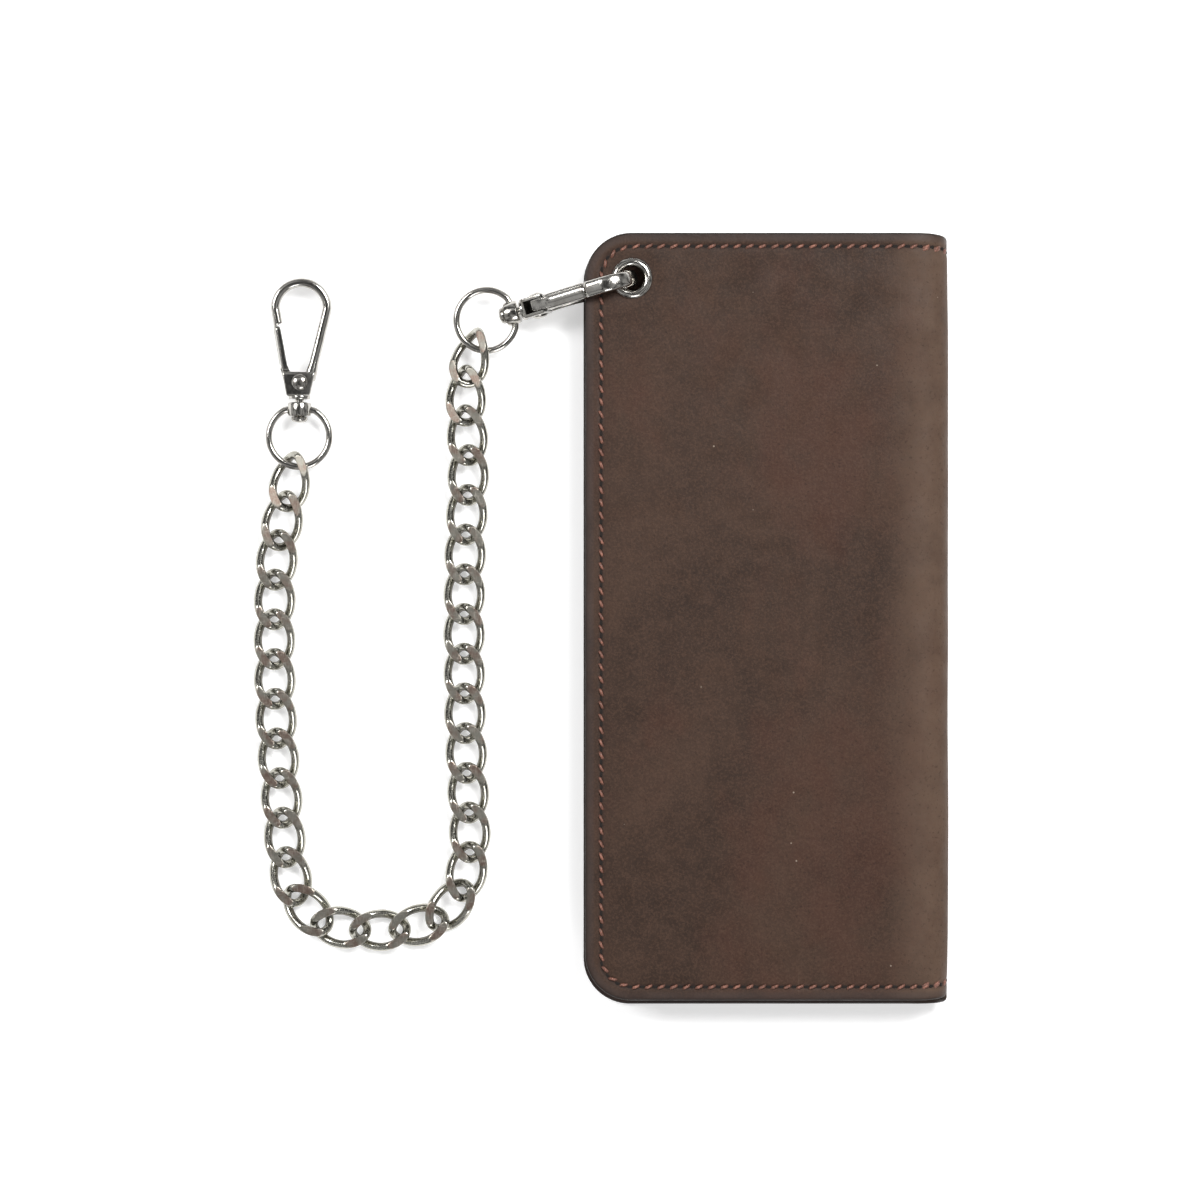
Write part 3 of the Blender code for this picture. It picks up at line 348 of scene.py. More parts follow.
def waxed_leather(name, dark, middle, worn_and_lit, grain=1.0):
    """Pull-up leather: cloudy browns with reddish patches, a very fine grain, a few pale specks and
    scratches, dark burnished edges with a painted bluish sheen just inside them, painted shade along
    the stitch groove, and paler where the piece is rubbed, which towards the fold is partly a painted
    highlight."""
    n = Nodes(name, 0.62)
    n.shader.inputs["Specular IOR Level"].default_value = 0.22
    clouds = n.ramp(n.noise(24, 5, 0.62, distortion=0.4), 0.38, 0.62)
    colour = n.mix(clouds, dark, middle)
    mottle = n.ramp(n.noise(150, 6, 0.7), 0.35, 0.72)
    colour = n.over(colour, mottle, 0.42, times(middle, 1.45))
    red = n.ramp(n.noise(38, 4, 0.6, n.stretched((1, 0.6, 1), 20)), 0.47, 0.68)
    reddish = (middle[0] * 1.4, middle[1] * 0.9, middle[2] * 0.85)
    colour = n.over(colour, red, 0.38, reddish)
    # paler where rubbed: real wear near the edges, and towards the fold partly a painted highlight
    rubbed_and_lit = n.field("wear_and_highlight")
    patchy = n.math("MULTIPLY", rubbed_and_lit, n.ramp(n.noise(95, 6, 0.68), 0.22, 0.7, 0.45, 1.0))
    colour = n.mix(patchy, colour, worn_and_lit)
    fine = n.noise(1700, 4, 0.75)
    colour = n.mix(n.ramp(fine, 0.45, 0.62, 0.0, 0.34), colour, times(middle, 2.1))
    pits = n.ramp(n.noise(1300, 3, 0.7), 0.57, 0.68, 0.0, 0.4)
    colour = n.mix(pits, colour, times(dark, 0.5))
    scratch_line = n.noise(1, 2, 0.4, n.stretched((1400, 26, 900), 8))
    scratches = n.math("MULTIPLY", n.ramp(scratch_line, 0.71, 0.76), n.ramp(n.noise(30, 2), 0.5, 0.62))
    colour = n.over(colour, scratches, 0.35, worn_and_lit)
    specks = n.ramp(n.cells(210), 0.035, 0.055, 1.0, 0.0)
    specks = n.math("MULTIPLY", specks, n.ramp(n.noise(60, 1), 0.6, 0.66))
    colour = n.over(colour, specks, 0.5, (0.42, 0.34, 0.27))
    # the border just inside the outline: real burnishing, darker and glossier, with a painted bluish sheen
    burnish_and_sheen = n.field("burnish_and_sheen")
    colour = n.over(colour, burnish_and_sheen, 0.42, (0.036, 0.030, 0.031))
    # painted shade along the stitch groove
    colour = n.over(colour, n.field("seam"), 0.55, (0.014, 0.008, 0.006))
    colour = n.over(colour, n.field("edge"), 0.82, (0.012, 0.008, 0.006))
    roughness = n.ramp(n.noise(130, 4), 0.3, 0.7, 0.5, 0.7)
    roughness = n.math("SUBTRACT", roughness, n.math("MULTIPLY", burnish_and_sheen, 0.16))
    pebbles = n.cells(1500, "SMOOTH_F1")
    normal = n.relief(pebbles, 0.00005 * grain, 0.55)
    normal = n.relief(fine, 0.00005 * grain, 0.7, normal)
    creases = n.noise(240, 5, 0.6, n.stretched((1, 0.35, 1)))
    normal = n.relief(creases, 0.0004 * grain, 0.35, normal)
    return n.finish(colour, roughness, normal)


def plated_metal(name, colour, tarnish, roughness, scratch=1.0, ground=False):
    """Worn plate: fine scratches every way, tarnish in clouds, painted shade with some tarnish in the
    piece's hollows, and in its ground field a scraped flat with streaks and a brown stain."""
    n = Nodes(name, roughness, 1.0)
    clouds = n.ramp(n.noise(300, 3, 0.6), 0.45, 0.75, 0.0, 0.5)
    shade = n.mix(clouds, colour, tarnish)
    hair = [n.noise(1, 1, 0.5, n.stretched(scale, turn)) for scale, turn in (
        ((9000, 500, 4000), 24), ((600, 8000, 4000), 12), ((7000, 700, 4000), -48),
    )]
    lines = n.math("MAXIMUM", n.math("MAXIMUM", hair[0], hair[1]), hair[2])
    streak = n.ramp(lines, 0.58, 0.72)
    shade = n.over(shade, streak, 0.16 * scratch, times(tarnish, 0.55))
    rough = n.ramp(streak, 0.0, 1.0, roughness, roughness + 0.10 * scratch)
    normal = n.relief(lines, 0.00002, 0.07 * scratch)
    if ground:
        flat = n.field("ground")
        stain = n.mix(n.ramp(n.noise(260, 4, 0.6), 0.4, 0.62), (0.22, 0.21, 0.18), (0.18, 0.112, 0.085))
        stain = n.over(stain, streak, 0.6, (0.5, 0.47, 0.42))
        shade = n.over(shade, flat, 0.85, stain)
        rough = n.math("ADD", rough, n.math("MULTIPLY", flat, 0.22), clamp=True)
    # painted shade, with some tarnish, in hollows: the inner sides of chain links and the floor of a hook
    # body's slot
    shade = n.over(shade, n.field("recess"), 0.72, (0.05, 0.042, 0.032))
    return n.finish(shade, rough, normal)


def twisted_thread(name, colour):
    """Waxed thread: two strands laid round each other, seen as slanting ridges; darker towards each
    stitch's ends, where painted shade stands for the thread going down into the leather.
    """
    n = Nodes(name, 0.5)
    strands = n.noise(1, 1, 0.4, n.stretched((3200, 1500, 2500), 35))
    shade = n.mix(n.ramp(strands, 0.35, 0.65), times(colour, 0.42), colour)
    shade = n.mix(n.ramp(n.noise(500, 3), 0.45, 0.75, 0.0, 0.5), shade, times(colour, 0.3))
    # painted shade towards each stitch's ends, where the thread dips into its hole
    shade = n.mix(n.field("end"), shade, times(colour, 0.12))
    return n.finish(shade, None, n.relief(strands, 0.0001, 0.8))


def woven_cloth(name, colour, threads):
    """Plain weave: two sets of ridges that cross, threads per metre apart."""
    n = Nodes(name, 0.9)
    warp = n.noise(1, 1, 0.3, n.stretched((threads, threads * 0.08, 40)))
    weft = n.noise(1, 1, 0.3, n.stretched((threads * 0.08, threads, 40)))
    weave = n.math("MAXIMUM", warp, weft)
    shade = n.mix(n.ramp(weave, 0.4, 0.7), times(colour, 0.5), times(colour, 1.5))
    return n.finish(shade, None, n.relief(weave, 0.0001, 0.8))


def painted_hole_shade(name, colour):
    """Painted shade for the dark inside of a needle hole."""
    n = Nodes(name, 0.95)
    return n.finish(n.mix(n.noise(900, 2), colour, times(colour, 0.4)))


COVER_LEATHER = waxed_leather(
    "cover_leather", (0.0265, 0.0138, 0.0088), (0.0435, 0.0233, 0.0150), (0.105, 0.066, 0.045),
)
LINING_LEATHER = waxed_leather(
    "lining_leather", (0.035, 0.021, 0.015), (0.062, 0.038, 0.027), (0.14, 0.095, 0.07), 0.8,
)
POCKET_LEATHER = waxed_leather(
    "pocket_leather", (0.038, 0.023, 0.016), (0.070, 0.043, 0.031), (0.16, 0.11, 0.08), 0.8,
)
NICKEL = plated_metal("nickel", (0.50, 0.485, 0.455), (0.27, 0.245, 0.21), 0.16)
CHAIN_NICKEL = plated_metal("aged_nickel", (0.46, 0.45, 0.40), (0.20, 0.18, 0.14), 0.17, 1.4, ground=True)
SPRING_STEEL = plated_metal("spring_steel", (0.35, 0.35, 0.36), (0.2, 0.18, 0.16), 0.35)
THREAD = twisted_thread("waxed_thread", (0.30, 0.125, 0.085))
NEEDLE_HOLE_SHADE = painted_hole_shade("needle_hole_shade", (0.012, 0.008, 0.006))
TAPE_CLOTH = woven_cloth("zip_tape", (0.020, 0.017, 0.015), 1600)
COIN_CLOTH = woven_cloth("coin_cloth", (0.035, 0.030, 0.025), 2400)


# ---- places taken from the frame -----------------------------------------------------------------
def node_points(node):
    """The points of a CAD node, mm."""
    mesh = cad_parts[node].data
    points = np.empty(len(mesh.vertices) * 3)
    mesh.vertices.foreach_get("co", points)
    return points.reshape(-1, 3) / MM


def node_middle(node):
    """Middle of a CAD node's points, mm."""
    return node_points(node).mean(axis=0)


def node_axes(node):
    """Middle of a CAD node, and its own axes as rows: width, length and the normal to them."""
    points = node_points(node)
    middle = points.mean(axis=0)
    spread = np.linalg.eigh(np.cov((points - middle).T))[1].T
    width, length = spread[1], spread[2]
    return middle, np.array([width, length, np.cross(width, length)])


def hook_axes(suffix):
    """Foot of a snap hook's body, and its own axes as rows: along it, across its loop away from the
    gate, and along its rivet."""
    rivet = node_middle(f"gate_rivet_{suffix}")
    along = unit(rivet - node_middle(f"swivel_{suffix}"))
    gate = rivet - node_middle(f"gate_{suffix}")
    across = unit(gate - (gate @ along) * along)
    return rivet - PIVOT_AT * along, np.array([along, across, np.cross(along, across)])


def placed(surface, origin, axes):
    """A surface made about its own origin, put at a place with its own axes as rows."""
    return origin + surface[0] @ axes, surface[1], surface[2]


# ---- leather -------------------------------------------------------------------------------------
EDGE_LINES = np.array([
    0, 0.02, 0.08, 0.18, 0.32, 0.5, 0.7, 1.0, 1.4, 1.9, 2.4, 2.8, 3.1, 3.4, 3.7, 4.0, 4.3, 4.8, 5.5, 6.4,
])
HOLE_REACH = 4.5            # the leather's grid is drawn round an eyelet's hole within this distance
HOLE_LINES = 8              # grid lines each side of its middle
HOLE_BLOCK = 3              # of them, the ones that open into the hole
Y_PITCH = 1.25
GROOVE_WIDTH = 0.62         # of the dip along the stitches, each side
PUFF_RUN = 7.0              # the leather swells over this distance inside the stitches
DISH_DEPTH = 0.3            # the leather dips round an eyelet's flange
DISH_AWAY = 1.6
DISH_WIDTH = 1.5


def spread_lines(length, pitch, free_end=True):
    """Places along a length: close together at a free end, a pitch apart between."""
    last = length - EDGE_LINES[::-1] if free_end else np.array([length])
    count = max(int(round((last[0] - EDGE_LINES[-1]) / pitch)), 1)
    between = np.linspace(EDGE_LINES[-1], last[0], count + 1)[1:-1]
    return np.concatenate([EDGE_LINES, between, last])


def with_hole_lines(lines, middle):
    """The same places with even ones round the middle of a hole."""
    inner = middle + np.linspace(-HOLE_REACH, HOLE_REACH, 2 * HOLE_LINES + 1)
    kept = lines[np.abs(lines - middle) > HOLE_REACH + 0.2]
    return np.sort(np.concatenate([kept, inner]))


def smooth_step(value, low, high):
    """0 below low, 1 above high, and a smooth rise between."""
    share = np.clip((value - low) / (high - low), 0, 1)
    return share * share * (3 - 2 * share)


def flat_section(left, height, side=1):
    """A level line from left towards +X, with its outer face up or down."""
    def section(s):
        ones = np.ones_like(s)
        return left + s, height * ones, 0 * ones, side * ones
    return section


def cover_section(open_edge, side):
    """A cover's outer face in section: level from the open edge, then a quarter of a squared ellipse
    round to the middle of the fold.  Returns the line's length and the line by distance."""
    turn = np.linspace(math.pi / 2, 0, FOLD_STEPS)
    share = 2 / FOLD_POWER
    x = FOLD_FACE - FOLD_ROUND + FOLD_ROUND * np.abs(np.cos(turn)) ** share
    z = THICKNESS / 2 * (1 + side * np.abs(np.sin(turn)) ** share)
    x = np.concatenate([[open_edge], x])
    z = np.concatenate([z[:1], z])
    keep = np.concatenate([[True], np.hypot(np.diff(x), np.diff(z)) > 1e-6])
    x, z = x[keep], z[keep]
    reach = np.concatenate([[0], np.cumsum(np.hypot(np.diff(x), np.diff(z)))])
    tangent_x, tangent_z = np.gradient(x, reach), np.gradient(z, reach)

    def section(s):
        along_x, along_z = np.interp(s, reach, tangent_x), np.interp(s, reach, tangent_z)
        size = side / np.hypot(along_x, along_z)
        return np.interp(s, reach, x), np.interp(s, reach, z), -along_z * size, along_x * size
    return reach[-1], section


def fold_cut(s, length, fold_drop):
    """How far a cover's end is cut back towards the fold: a quarter of an ellipse."""
    share = np.clip((s - length + FOLD_CUT) / (FOLD_CUT - 0.1), 0, 1)
    return fold_drop * (1 - np.sqrt(1 - share ** 2 * FOLD_CUT_SHARE))


def outline_limits(s, length, half_height, corner, cut, fold_drop):
    """Lowest and highest Y at distance s: round corners, or one cut straight, and cut back at the
    fold."""
    inside = np.clip(corner - s, 0, corner)
    round_off = corner - np.sqrt(corner ** 2 - inside ** 2)
    drop = fold_cut(s, length, fold_drop)
    high = half_height - np.maximum(round_off, np.clip(cut - s, 0, None)) - drop
    return -half_height + round_off + drop, high


def edge_distance(s, y, length, half_height, corner, cut, fold_drop, free_end):
    """Distance in from the outline."""
    near = half_height - fold_cut(s, length, fold_drop) - np.abs(y)
    distance = np.minimum(s, near)
    in_corner = (s < corner) & (near < corner)
    distance = np.where(in_corner, corner - np.hypot(corner - s, corner - near), distance)
    if cut:
        distance = np.minimum(distance, (s + half_height - y - cut) / math.sqrt(2))
    if free_end:
        distance = np.minimum(distance, length - s)
    return np.maximum(distance, 0)


def hand_waves(x, y, seed, size):
    """Gentle unevenness: five plane waves, 25 to 90 mm long."""
    rng = np.random.default_rng(seed)
    total = np.zeros_like(x)
    for _ in range(5):
        angle, length, phase = rng.uniform(0, np.pi), rng.uniform(25, 90), rng.uniform(0, 6.3)
        total += np.sin(2 * np.pi * (x * np.cos(angle) + y * np.sin(angle)) / length + phase)
    return total * size / 5


def leather_sheet(
    section, length, thickness, half_height, cut=0.0, fold_drop=0.0, free_end=False, pitch=1.1,
    hole=None, slot=None, middle_y=0.0, seam=0.0, puff=0.0, waves=0.0, seed=1, wear_and_highlight=0.0,
):
    """A sheet laid along a section line: rows at distances s from the open edge, and along each row the
    outer face from the lowest to the highest Y and the inner face back again.  Both faces round over
    at the outline; the outer one dips along the stitch line and swells inside it."""
    s_lines = spread_lines(length, pitch, free_end)
    y_lines = spread_lines(2 * half_height, Y_PITCH) - half_height
    if hole:
        s_lines = with_hole_lines(s_lines, hole[0])
        y_lines = with_hole_lines(y_lines, hole[1])
    if slot:
        s_lines = np.sort(np.concatenate([s_lines, slot[:2]]))
        y_lines = np.sort(np.concatenate([y_lines, slot[2:]]))
    low, high = outline_limits(s_lines, length, half_height, CORNER, cut, fold_drop)
    share = (y_lines + half_height) / (2 * half_height)
    s = np.repeat(s_lines[:, None], len(share), axis=1)
    y = low[:, None] + (high - low)[:, None] * share
    distance = edge_distance(s, y, length, half_height, CORNER, cut, fold_drop, free_end)
    if hole:
        off_s, off_y = s - hole[0], y - hole[1]
        square = np.maximum(np.abs(off_s), np.abs(off_y))
        block = HOLE_REACH * HOLE_BLOCK / HOLE_LINES
        free = np.clip((square - block) / (HOLE_REACH - block), 0, 1)
        around = np.hypot(off_s, off_y) + 1e-9
        circle = hole[2] + (square - block)
        wanted = circle * (1 - free) + around * free
        scale = np.where(square < HOLE_REACH, wanted / around, 1)
        s, y = hole[0] + off_s * scale, hole[1] + off_y * scale
    x, z, normal_x, normal_z = section(s)
    rounding = np.minimum(EDGE_ROUND, thickness * 0.42)
    inset = 1 - np.clip(distance / rounding, 0, 1)
    inset = rounding * (1 - np.sqrt(1 - inset ** 2))
    seam_side = np.minimum(s - (SEAM_INSET_SIDE - SEAM_INSET), distance)
    lift = hand_waves(s, y, seed, waves) * smooth_step(distance, 4, 16) - inset
    lift = lift - seam * np.exp(-((seam_side - SEAM_INSET) / GROOVE_WIDTH) ** 2)
    lift = lift + puff * (1 - np.exp(-np.clip(seam_side - SEAM_INSET, 0, None) / PUFF_RUN))
    if hole:
        from_hole = np.hypot(s - hole[0], y - hole[1])
        lift = lift - DISH_DEPTH * np.exp(-((from_hole - hole[2] - DISH_AWAY) / DISH_WIDTH) ** 2)
    outer = np.stack([x + normal_x * lift, y, z + normal_z * lift], axis=-1)
    outer[..., 1] += middle_y
    depth = thickness - inset
    inner = np.stack([x - normal_x * depth, y + middle_y, z - normal_z * depth], axis=-1)
    points = np.concatenate([outer, inner[:, ::-1]], axis=1)
    rows, ring = points.shape[:2]
    columns = ring // 2
    numbers = np.arange(rows * ring).reshape(rows, ring)
    quads = grid_faces(rows, ring, False, True).reshape(rows - 1, ring, 4)
    keep = np.ones((rows - 1, ring), bool)
    walls = []
    block = None
    if hole:
        row = int(np.argmin(np.abs(s_lines - hole[0])))
        column = int(np.argmin(np.abs(y_lines - hole[1])))
        block = (row - HOLE_BLOCK, row + HOLE_BLOCK, column - HOLE_BLOCK, column + HOLE_BLOCK)
    if slot:
        block = tuple(np.searchsorted(lines, place) for lines, place in zip(
            (s_lines, s_lines, y_lines, y_lines), slot,
        ))
    if block:
        first, last, left, right = block
        keep[first:last, left:right] = False
        keep[first:last, ring - 1 - right:ring - 1 - left] = False
        rows_up, columns_up = np.arange(first, last), np.arange(left, right)
        loop_row = np.concatenate([
            rows_up, np.full(right - left, last), rows_up[::-1] + 1, np.full(right - left, first),
        ])
        loop_column = np.concatenate([
            np.full(last - first, left), columns_up, np.full(last - first, right), columns_up[::-1] + 1,
        ])
        outer_loop = numbers[loop_row, loop_column]
        inner_loop = numbers[loop_row, ring - 1 - loop_column]
        walls.append(np.stack([
            outer_loop, np.roll(outer_loop, -1), np.roll(inner_loop, -1), inner_loop,
        ], axis=1))
    side = np.arange(columns - 1)
    for line in (numbers[0], numbers[-1][::-1]):
        wall = [line[side + 1], line[side], line[ring - 1 - side], line[ring - 2 - side]]
        walls.append(np.stack(wall, axis=1))
    quads = np.vstack([quads[keep], *walls])
    # paler towards the fold, partly real pull-up wear and partly a painted highlight; the narrow band near
    # the edges is wear
    rubbed_and_lit = wear_and_highlight * smooth_step(x, 27, 43)
    rubbed_and_lit = rubbed_and_lit + 0.22 * wear_and_highlight * np.exp(-((distance - 1.4) / 0.8) ** 2)
    edge = np.exp(-(distance / 0.6) ** 2)
    # burnished border, which the material also gives a painted sheen
    burnish_and_sheen = smooth_step(-distance, -2.6, -1.4)
    # painted shade along the stitch groove
    groove_shade = np.exp(-((seam_side - SEAM_INSET) / 0.5) ** 2) * (seam > 0)
    faces = {
        "seam": (groove_shade, 0 * groove_shade),
        "burnish_and_sheen": (burnish_and_sheen, burnish_and_sheen[:, ::-1]),
        "wear_and_highlight": (rubbed_and_lit, rubbed_and_lit[:, ::-1]),
        "edge": (edge, edge[:, ::-1]),
    }
    used = np.zeros(rows * ring, bool)
    used[quads] = True
    renumber = np.cumsum(used) - 1
    fields = {name: np.concatenate(pair, axis=1).ravel()[used] for name, pair in faces.items()}
    return (points.reshape(-1, 3)[used], renumber[quads], NO_TRIANGLES), fields


def seam_line(section, length, half_height, middle_y):
    """Evenly spaced needle places along a cover's three open sides, from the fold round to the fold,
    and the leather's normal at each."""
    radius = CORNER - SEAM_INSET - SEAM_CORNER_INSET
    s_run = np.linspace(length - SEAM_END, SEAM_INSET_SIDE + radius, 90)
    high = outline_limits(s_run, length, half_height, CORNER, 0, FOLD_DROP)[1] - SEAM_INSET
    turn = np.linspace(0, math.pi / 2, 14)[1:]
    centre_s, centre_y = SEAM_INSET_SIDE + radius, half_height - SEAM_INSET - radius
    s = np.concatenate([s_run, centre_s - radius * np.sin(turn)])
    y = np.concatenate([high, centre_y + radius * np.cos(turn)])
    s, y = np.concatenate([s, s[::-1]]), np.concatenate([y, -y[::-1]])
    reach = np.concatenate([[0], np.cumsum(np.hypot(np.diff(s), np.diff(y)))])
    count = int(round(reach[-1] / STITCH_PITCH))
    at = np.linspace(0, reach[-1], count + 1)
    s, y = np.interp(at, reach, s), np.interp(at, reach, y) + middle_y
    x, z, normal_x, normal_z = section(s)
    places = np.stack([x, y, z], axis=1)
    normals = np.stack([normal_x, 0 * normal_x, normal_z], axis=1)
    return places, normals


def thread_stitches(places, normals, groove, doubled=3):
    """One short slanting loop of thread from each needle place to the next, as an arc that rises out
    of the leather and goes back in; the first and last few are sewn twice."""
    start, end = places[:-1], places[1:]
    normal = unit(normals[:-1] + normals[1:])
    extra = [*range(doubled), *range(len(start) - doubled, len(start))]
    sideways_shift = np.zeros(len(start) + len(extra))
    sideways_shift[len(start):] = SECOND_ROW
    start, end = np.vstack([start, start[extra]]), np.vstack([end, end[extra]])
    normal = np.vstack([normal, normal[extra]])
    along = unit(end - start)
    sideways = np.cross(normal, along)
    rng = np.random.default_rng(5)
    slant = rng.normal(*STITCH_SLANT, len(start))
    rise = rng.normal(*STITCH_RISE, len(start)) - groove
    share = np.linspace(-1, 1, 8)
    half = STITCH_PITCH / 2 - STITCH_GAP
    middle = (start + end) / 2 + sideways * sideways_shift[:, None]
    line = (
        middle[:, None] + along[:, None] * (half * share)[None, :, None]
        + sideways[:, None] * (slant[:, None] * share)[..., None]
        + normal[:, None] * (rise[:, None] - STITCH_DIP * np.abs(share) ** 3)[..., None]
    )
    turn = 2 * np.pi * np.arange(THREAD_SIDES) / THREAD_SIDES
    size = (THREAD_RADIUS * (1 - 0.35 * share ** 4))[None, :, None]
    ring = (
        line[:, :, None]
        + (size * np.cos(turn))[..., None] * sideways[:, None, None]
        + (size * THREAD_FLAT * np.sin(turn))[..., None] * normal[:, None, None]
    )
    # painted shade along each stitch: none in its middle, most at its ends where it goes into the leather
    dark = np.append(np.repeat(np.abs(share) ** 2.5, THREAD_SIDES), [1, 1])
    return many(ring), {"end": np.tile(0.9 * dark, len(ring))}


def many(rings):
    """Many closed tubes at once from rings of points: (tube, ring, point, 3)."""
    count, rows, columns = rings.shape[:3]
    points = rings.reshape(count, -1, 3)
    ends = rings[:, [0, -1]].mean(axis=2)
    points = np.concatenate([points, ends], axis=1)
    offset = (np.arange(count) * points.shape[1])[:, None, None]
    quads = grid_faces(rows, columns, False, True) + offset
    triangles = end_fans(rows, columns) + offset
    return points.reshape(-1, 3), quads.reshape(-1, 4), triangles.reshape(-1, 3)


def needle_hole_shades(places, normals, groove):
    """A small low dome at each needle place, dark, where the thread goes in: painted shade that stands
    for the hole's dark inside.  Rings of (radius, height), a little shorter across the seam."""
    along = unit(np.vstack([places[1:] - places[:-1], places[-1:] - places[-2:-1]]))
    sideways = np.cross(normals, along)
    turn = 2 * np.pi * np.arange(8) / 8
    rings = []
    for radius, height in ((0.80, -0.10), (0.70, 0.05), (0.3, 0.09)):
        rings.append(
            places[:, None] + radius * np.cos(turn)[None, :, None] * along[:, None]
            + radius * 0.72 * np.sin(turn)[None, :, None] * sideways[:, None]
            + (height - groove) * normals[:, None]
        )
    return many(np.stack(rings, axis=1))


FRONT_EDGE = -44.6
BACK_EDGE = -45.0
GROOVE = 0.22               # depth of the dip along the stitches
COVER_PITCH = 0.95
COVER_PUFF = {1: 0.3, -1: -0.05}    # by side: the front cover swells inside its stitches
COVER_WAVES = {1: 0.16, -1: 0.05}
BACK_REACH = 1.0            # the back cover reaches this much further at the bottom
FRONT_SETBACK = 0.8         # the front cover is this much shorter at the bottom
EYELET_MIDDLE = node_middle("eyelet")
EYELET_HOLE = 3.5
FRONT_BEND = ("front_half", "fold_strip", (0.0395, 0, 0.012), (0.045, 0, 0.0075))
BACK_BEND = ("back_half", "fold_strip", (0.0395, 0, 0.001), (0.045, 0, 0.0055))


def make_cover(name, side, open_edge, bend, nodes, hole=None):
    """One cover with its half of the fold, its stitches, and dark domes of painted shade at their needle
    holes.
    """
    length, section = cover_section(open_edge, side)
    past_top = -FRONT_SETBACK if side > 0 else BACK_REACH
    half_height, middle_y = HALF_HEIGHT + past_top / 2, -past_top / 2
    surface, fields = leather_sheet(
        section, length, COVER, half_height, fold_drop=FOLD_DROP, hole=hole, pitch=COVER_PITCH,
        middle_y=middle_y, seam=GROOVE, puff=COVER_PUFF[side], waves=COVER_WAVES[side], seed=11 + side,
        wear_and_highlight=1.0,
    )
    piece(name, surface, COVER_LEATHER, None, nodes, bend, fields=fields)
    places, normals = seam_line(section, length, half_height, middle_y)
    stitches, ends = thread_stitches(places, normals, GROOVE)
    piece(f"{name}_stitches", stitches, THREAD, None, (), bend, fields=ends)
    # dark domes of painted shade at the needle holes
    hole_shades = needle_hole_shades(places, normals, GROOVE)
    piece(f"{name}_needle_hole_shades", hole_shades, NEEDLE_HOLE_SHADE, None, (), bend)


make_cover(
    "front_leather", 1, FRONT_EDGE, FRONT_BEND, ("front_cover", "spine"),
    (EYELET_MIDDLE[0] - FRONT_EDGE, EYELET_MIDDLE[1] - FRONT_SETBACK / 2, EYELET_HOLE),
)
make_cover("back_leather", -1, BACK_EDGE, BACK_BEND, ("back_cover",))

INNER_PITCH = 2.2
POCKET_CUT = 30.0           # the pockets' upper corner is cut off along this much of each side


def inner_sheet(name, node, body, material, cut=0.0, side=1, hole=None, slot=None, free_end=False):
    """A lining or pocket in the box of its CAD node, with its outer face up or down."""
    low, high = (np.array(limit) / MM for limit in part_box(node))
    half_height, middle_y = (high[1] - low[1]) / 2, (high[1] + low[1]) / 2
    surface, fields = leather_sheet(
        flat_section(low[0], high[2] if side > 0 else low[2], side), high[0] - low[0], high[2] - low[2],
        half_height, cut=cut, free_end=free_end, pitch=INNER_PITCH, seed=len(name), middle_y=middle_y,
        hole=hole and (hole[0] - low[0], hole[1] - middle_y, hole[2]),
        slot=slot and (slot[0] - low[0], slot[1] - low[0], slot[2] - middle_y, slot[3] - middle_y),
    )
    piece(name, surface, material, body, (node,), fields=fields)


inner_sheet("back_lining_leather", "back_lining", "back_half", LINING_LEATHER)
for number in range(1, 5):
    node = f"card_pocket_{number}"
    inner_sheet(
        f"{node}_leather", node, "back_half", POCKET_LEATHER, POCKET_CUT, free_end=True,
    )

ZIP_LOW, ZIP_HIGH = (np.array(limit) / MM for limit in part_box("zip_side_left"))
ZIP_X = (ZIP_HIGH[0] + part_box("zip_side_right")[0][0] / MM) / 2
ZIP_END = ZIP_HIGH[1]
SLOT_X, SLOT_Y = 4.0, ZIP_END - 1.2     # half the opening over the zip
inner_sheet(
    "front_lining_leather", "front_lining", "front_half", LINING_LEATHER, 0.0, -1,
    (EYELET_MIDDLE[0], EYELET_MIDDLE[1], EYELET_HOLE),
)
inner_sheet(
    "coin_pocket_leaf", "coin_pocket_back", "front_half", COIN_CLOTH, POCKET_CUT, -1,
)
inner_sheet(
    "coin_pocket_leather", "coin_pocket_face", "front_half", POCKET_LEATHER, POCKET_CUT, -1,
    slot=(ZIP_X - SLOT_X, ZIP_X + SLOT_X, -SLOT_Y, SLOT_Y),
)


# ---- zip -----------------------------------------------------------------------------------------
TAPE_DOWN = 0.1             # the tape's middle, below its CAD node's upper face
TOOTH_PITCH = 1.5


def zip_tape(side):
    """One half of the tape: a thin band whose near edge is rolled into a cord."""
    y = np.linspace(-ZIP_END, ZIP_END, 60)
    path = np.stack([0 * y + ZIP_X, y, 0 * y + ZIP_HIGH[2] - TAPE_DOWN], axis=1)
    across = np.array([0.5, 0.7, 1.1, 1.5, 2.2, 4.0, 5.8, 5.95, 5.8, 4.0, 2.2, 1.5, 1.1, 0.7])
    height = np.array([0, 0.1, 0.1, 0.1, 0.08, 0.08, 0.08, 0, -0.08, -0.08, -0.08, -0.35, -0.4, -0.3])
    u = np.tile([side, 0.0, 0.0], (len(y), 1))
    v = np.tile([0.0, 0.0, 1.0], (len(y), 1))
    return swept(path, u, v, np.tile(across, (len(y), 1)), np.tile(height, (len(y), 1)))


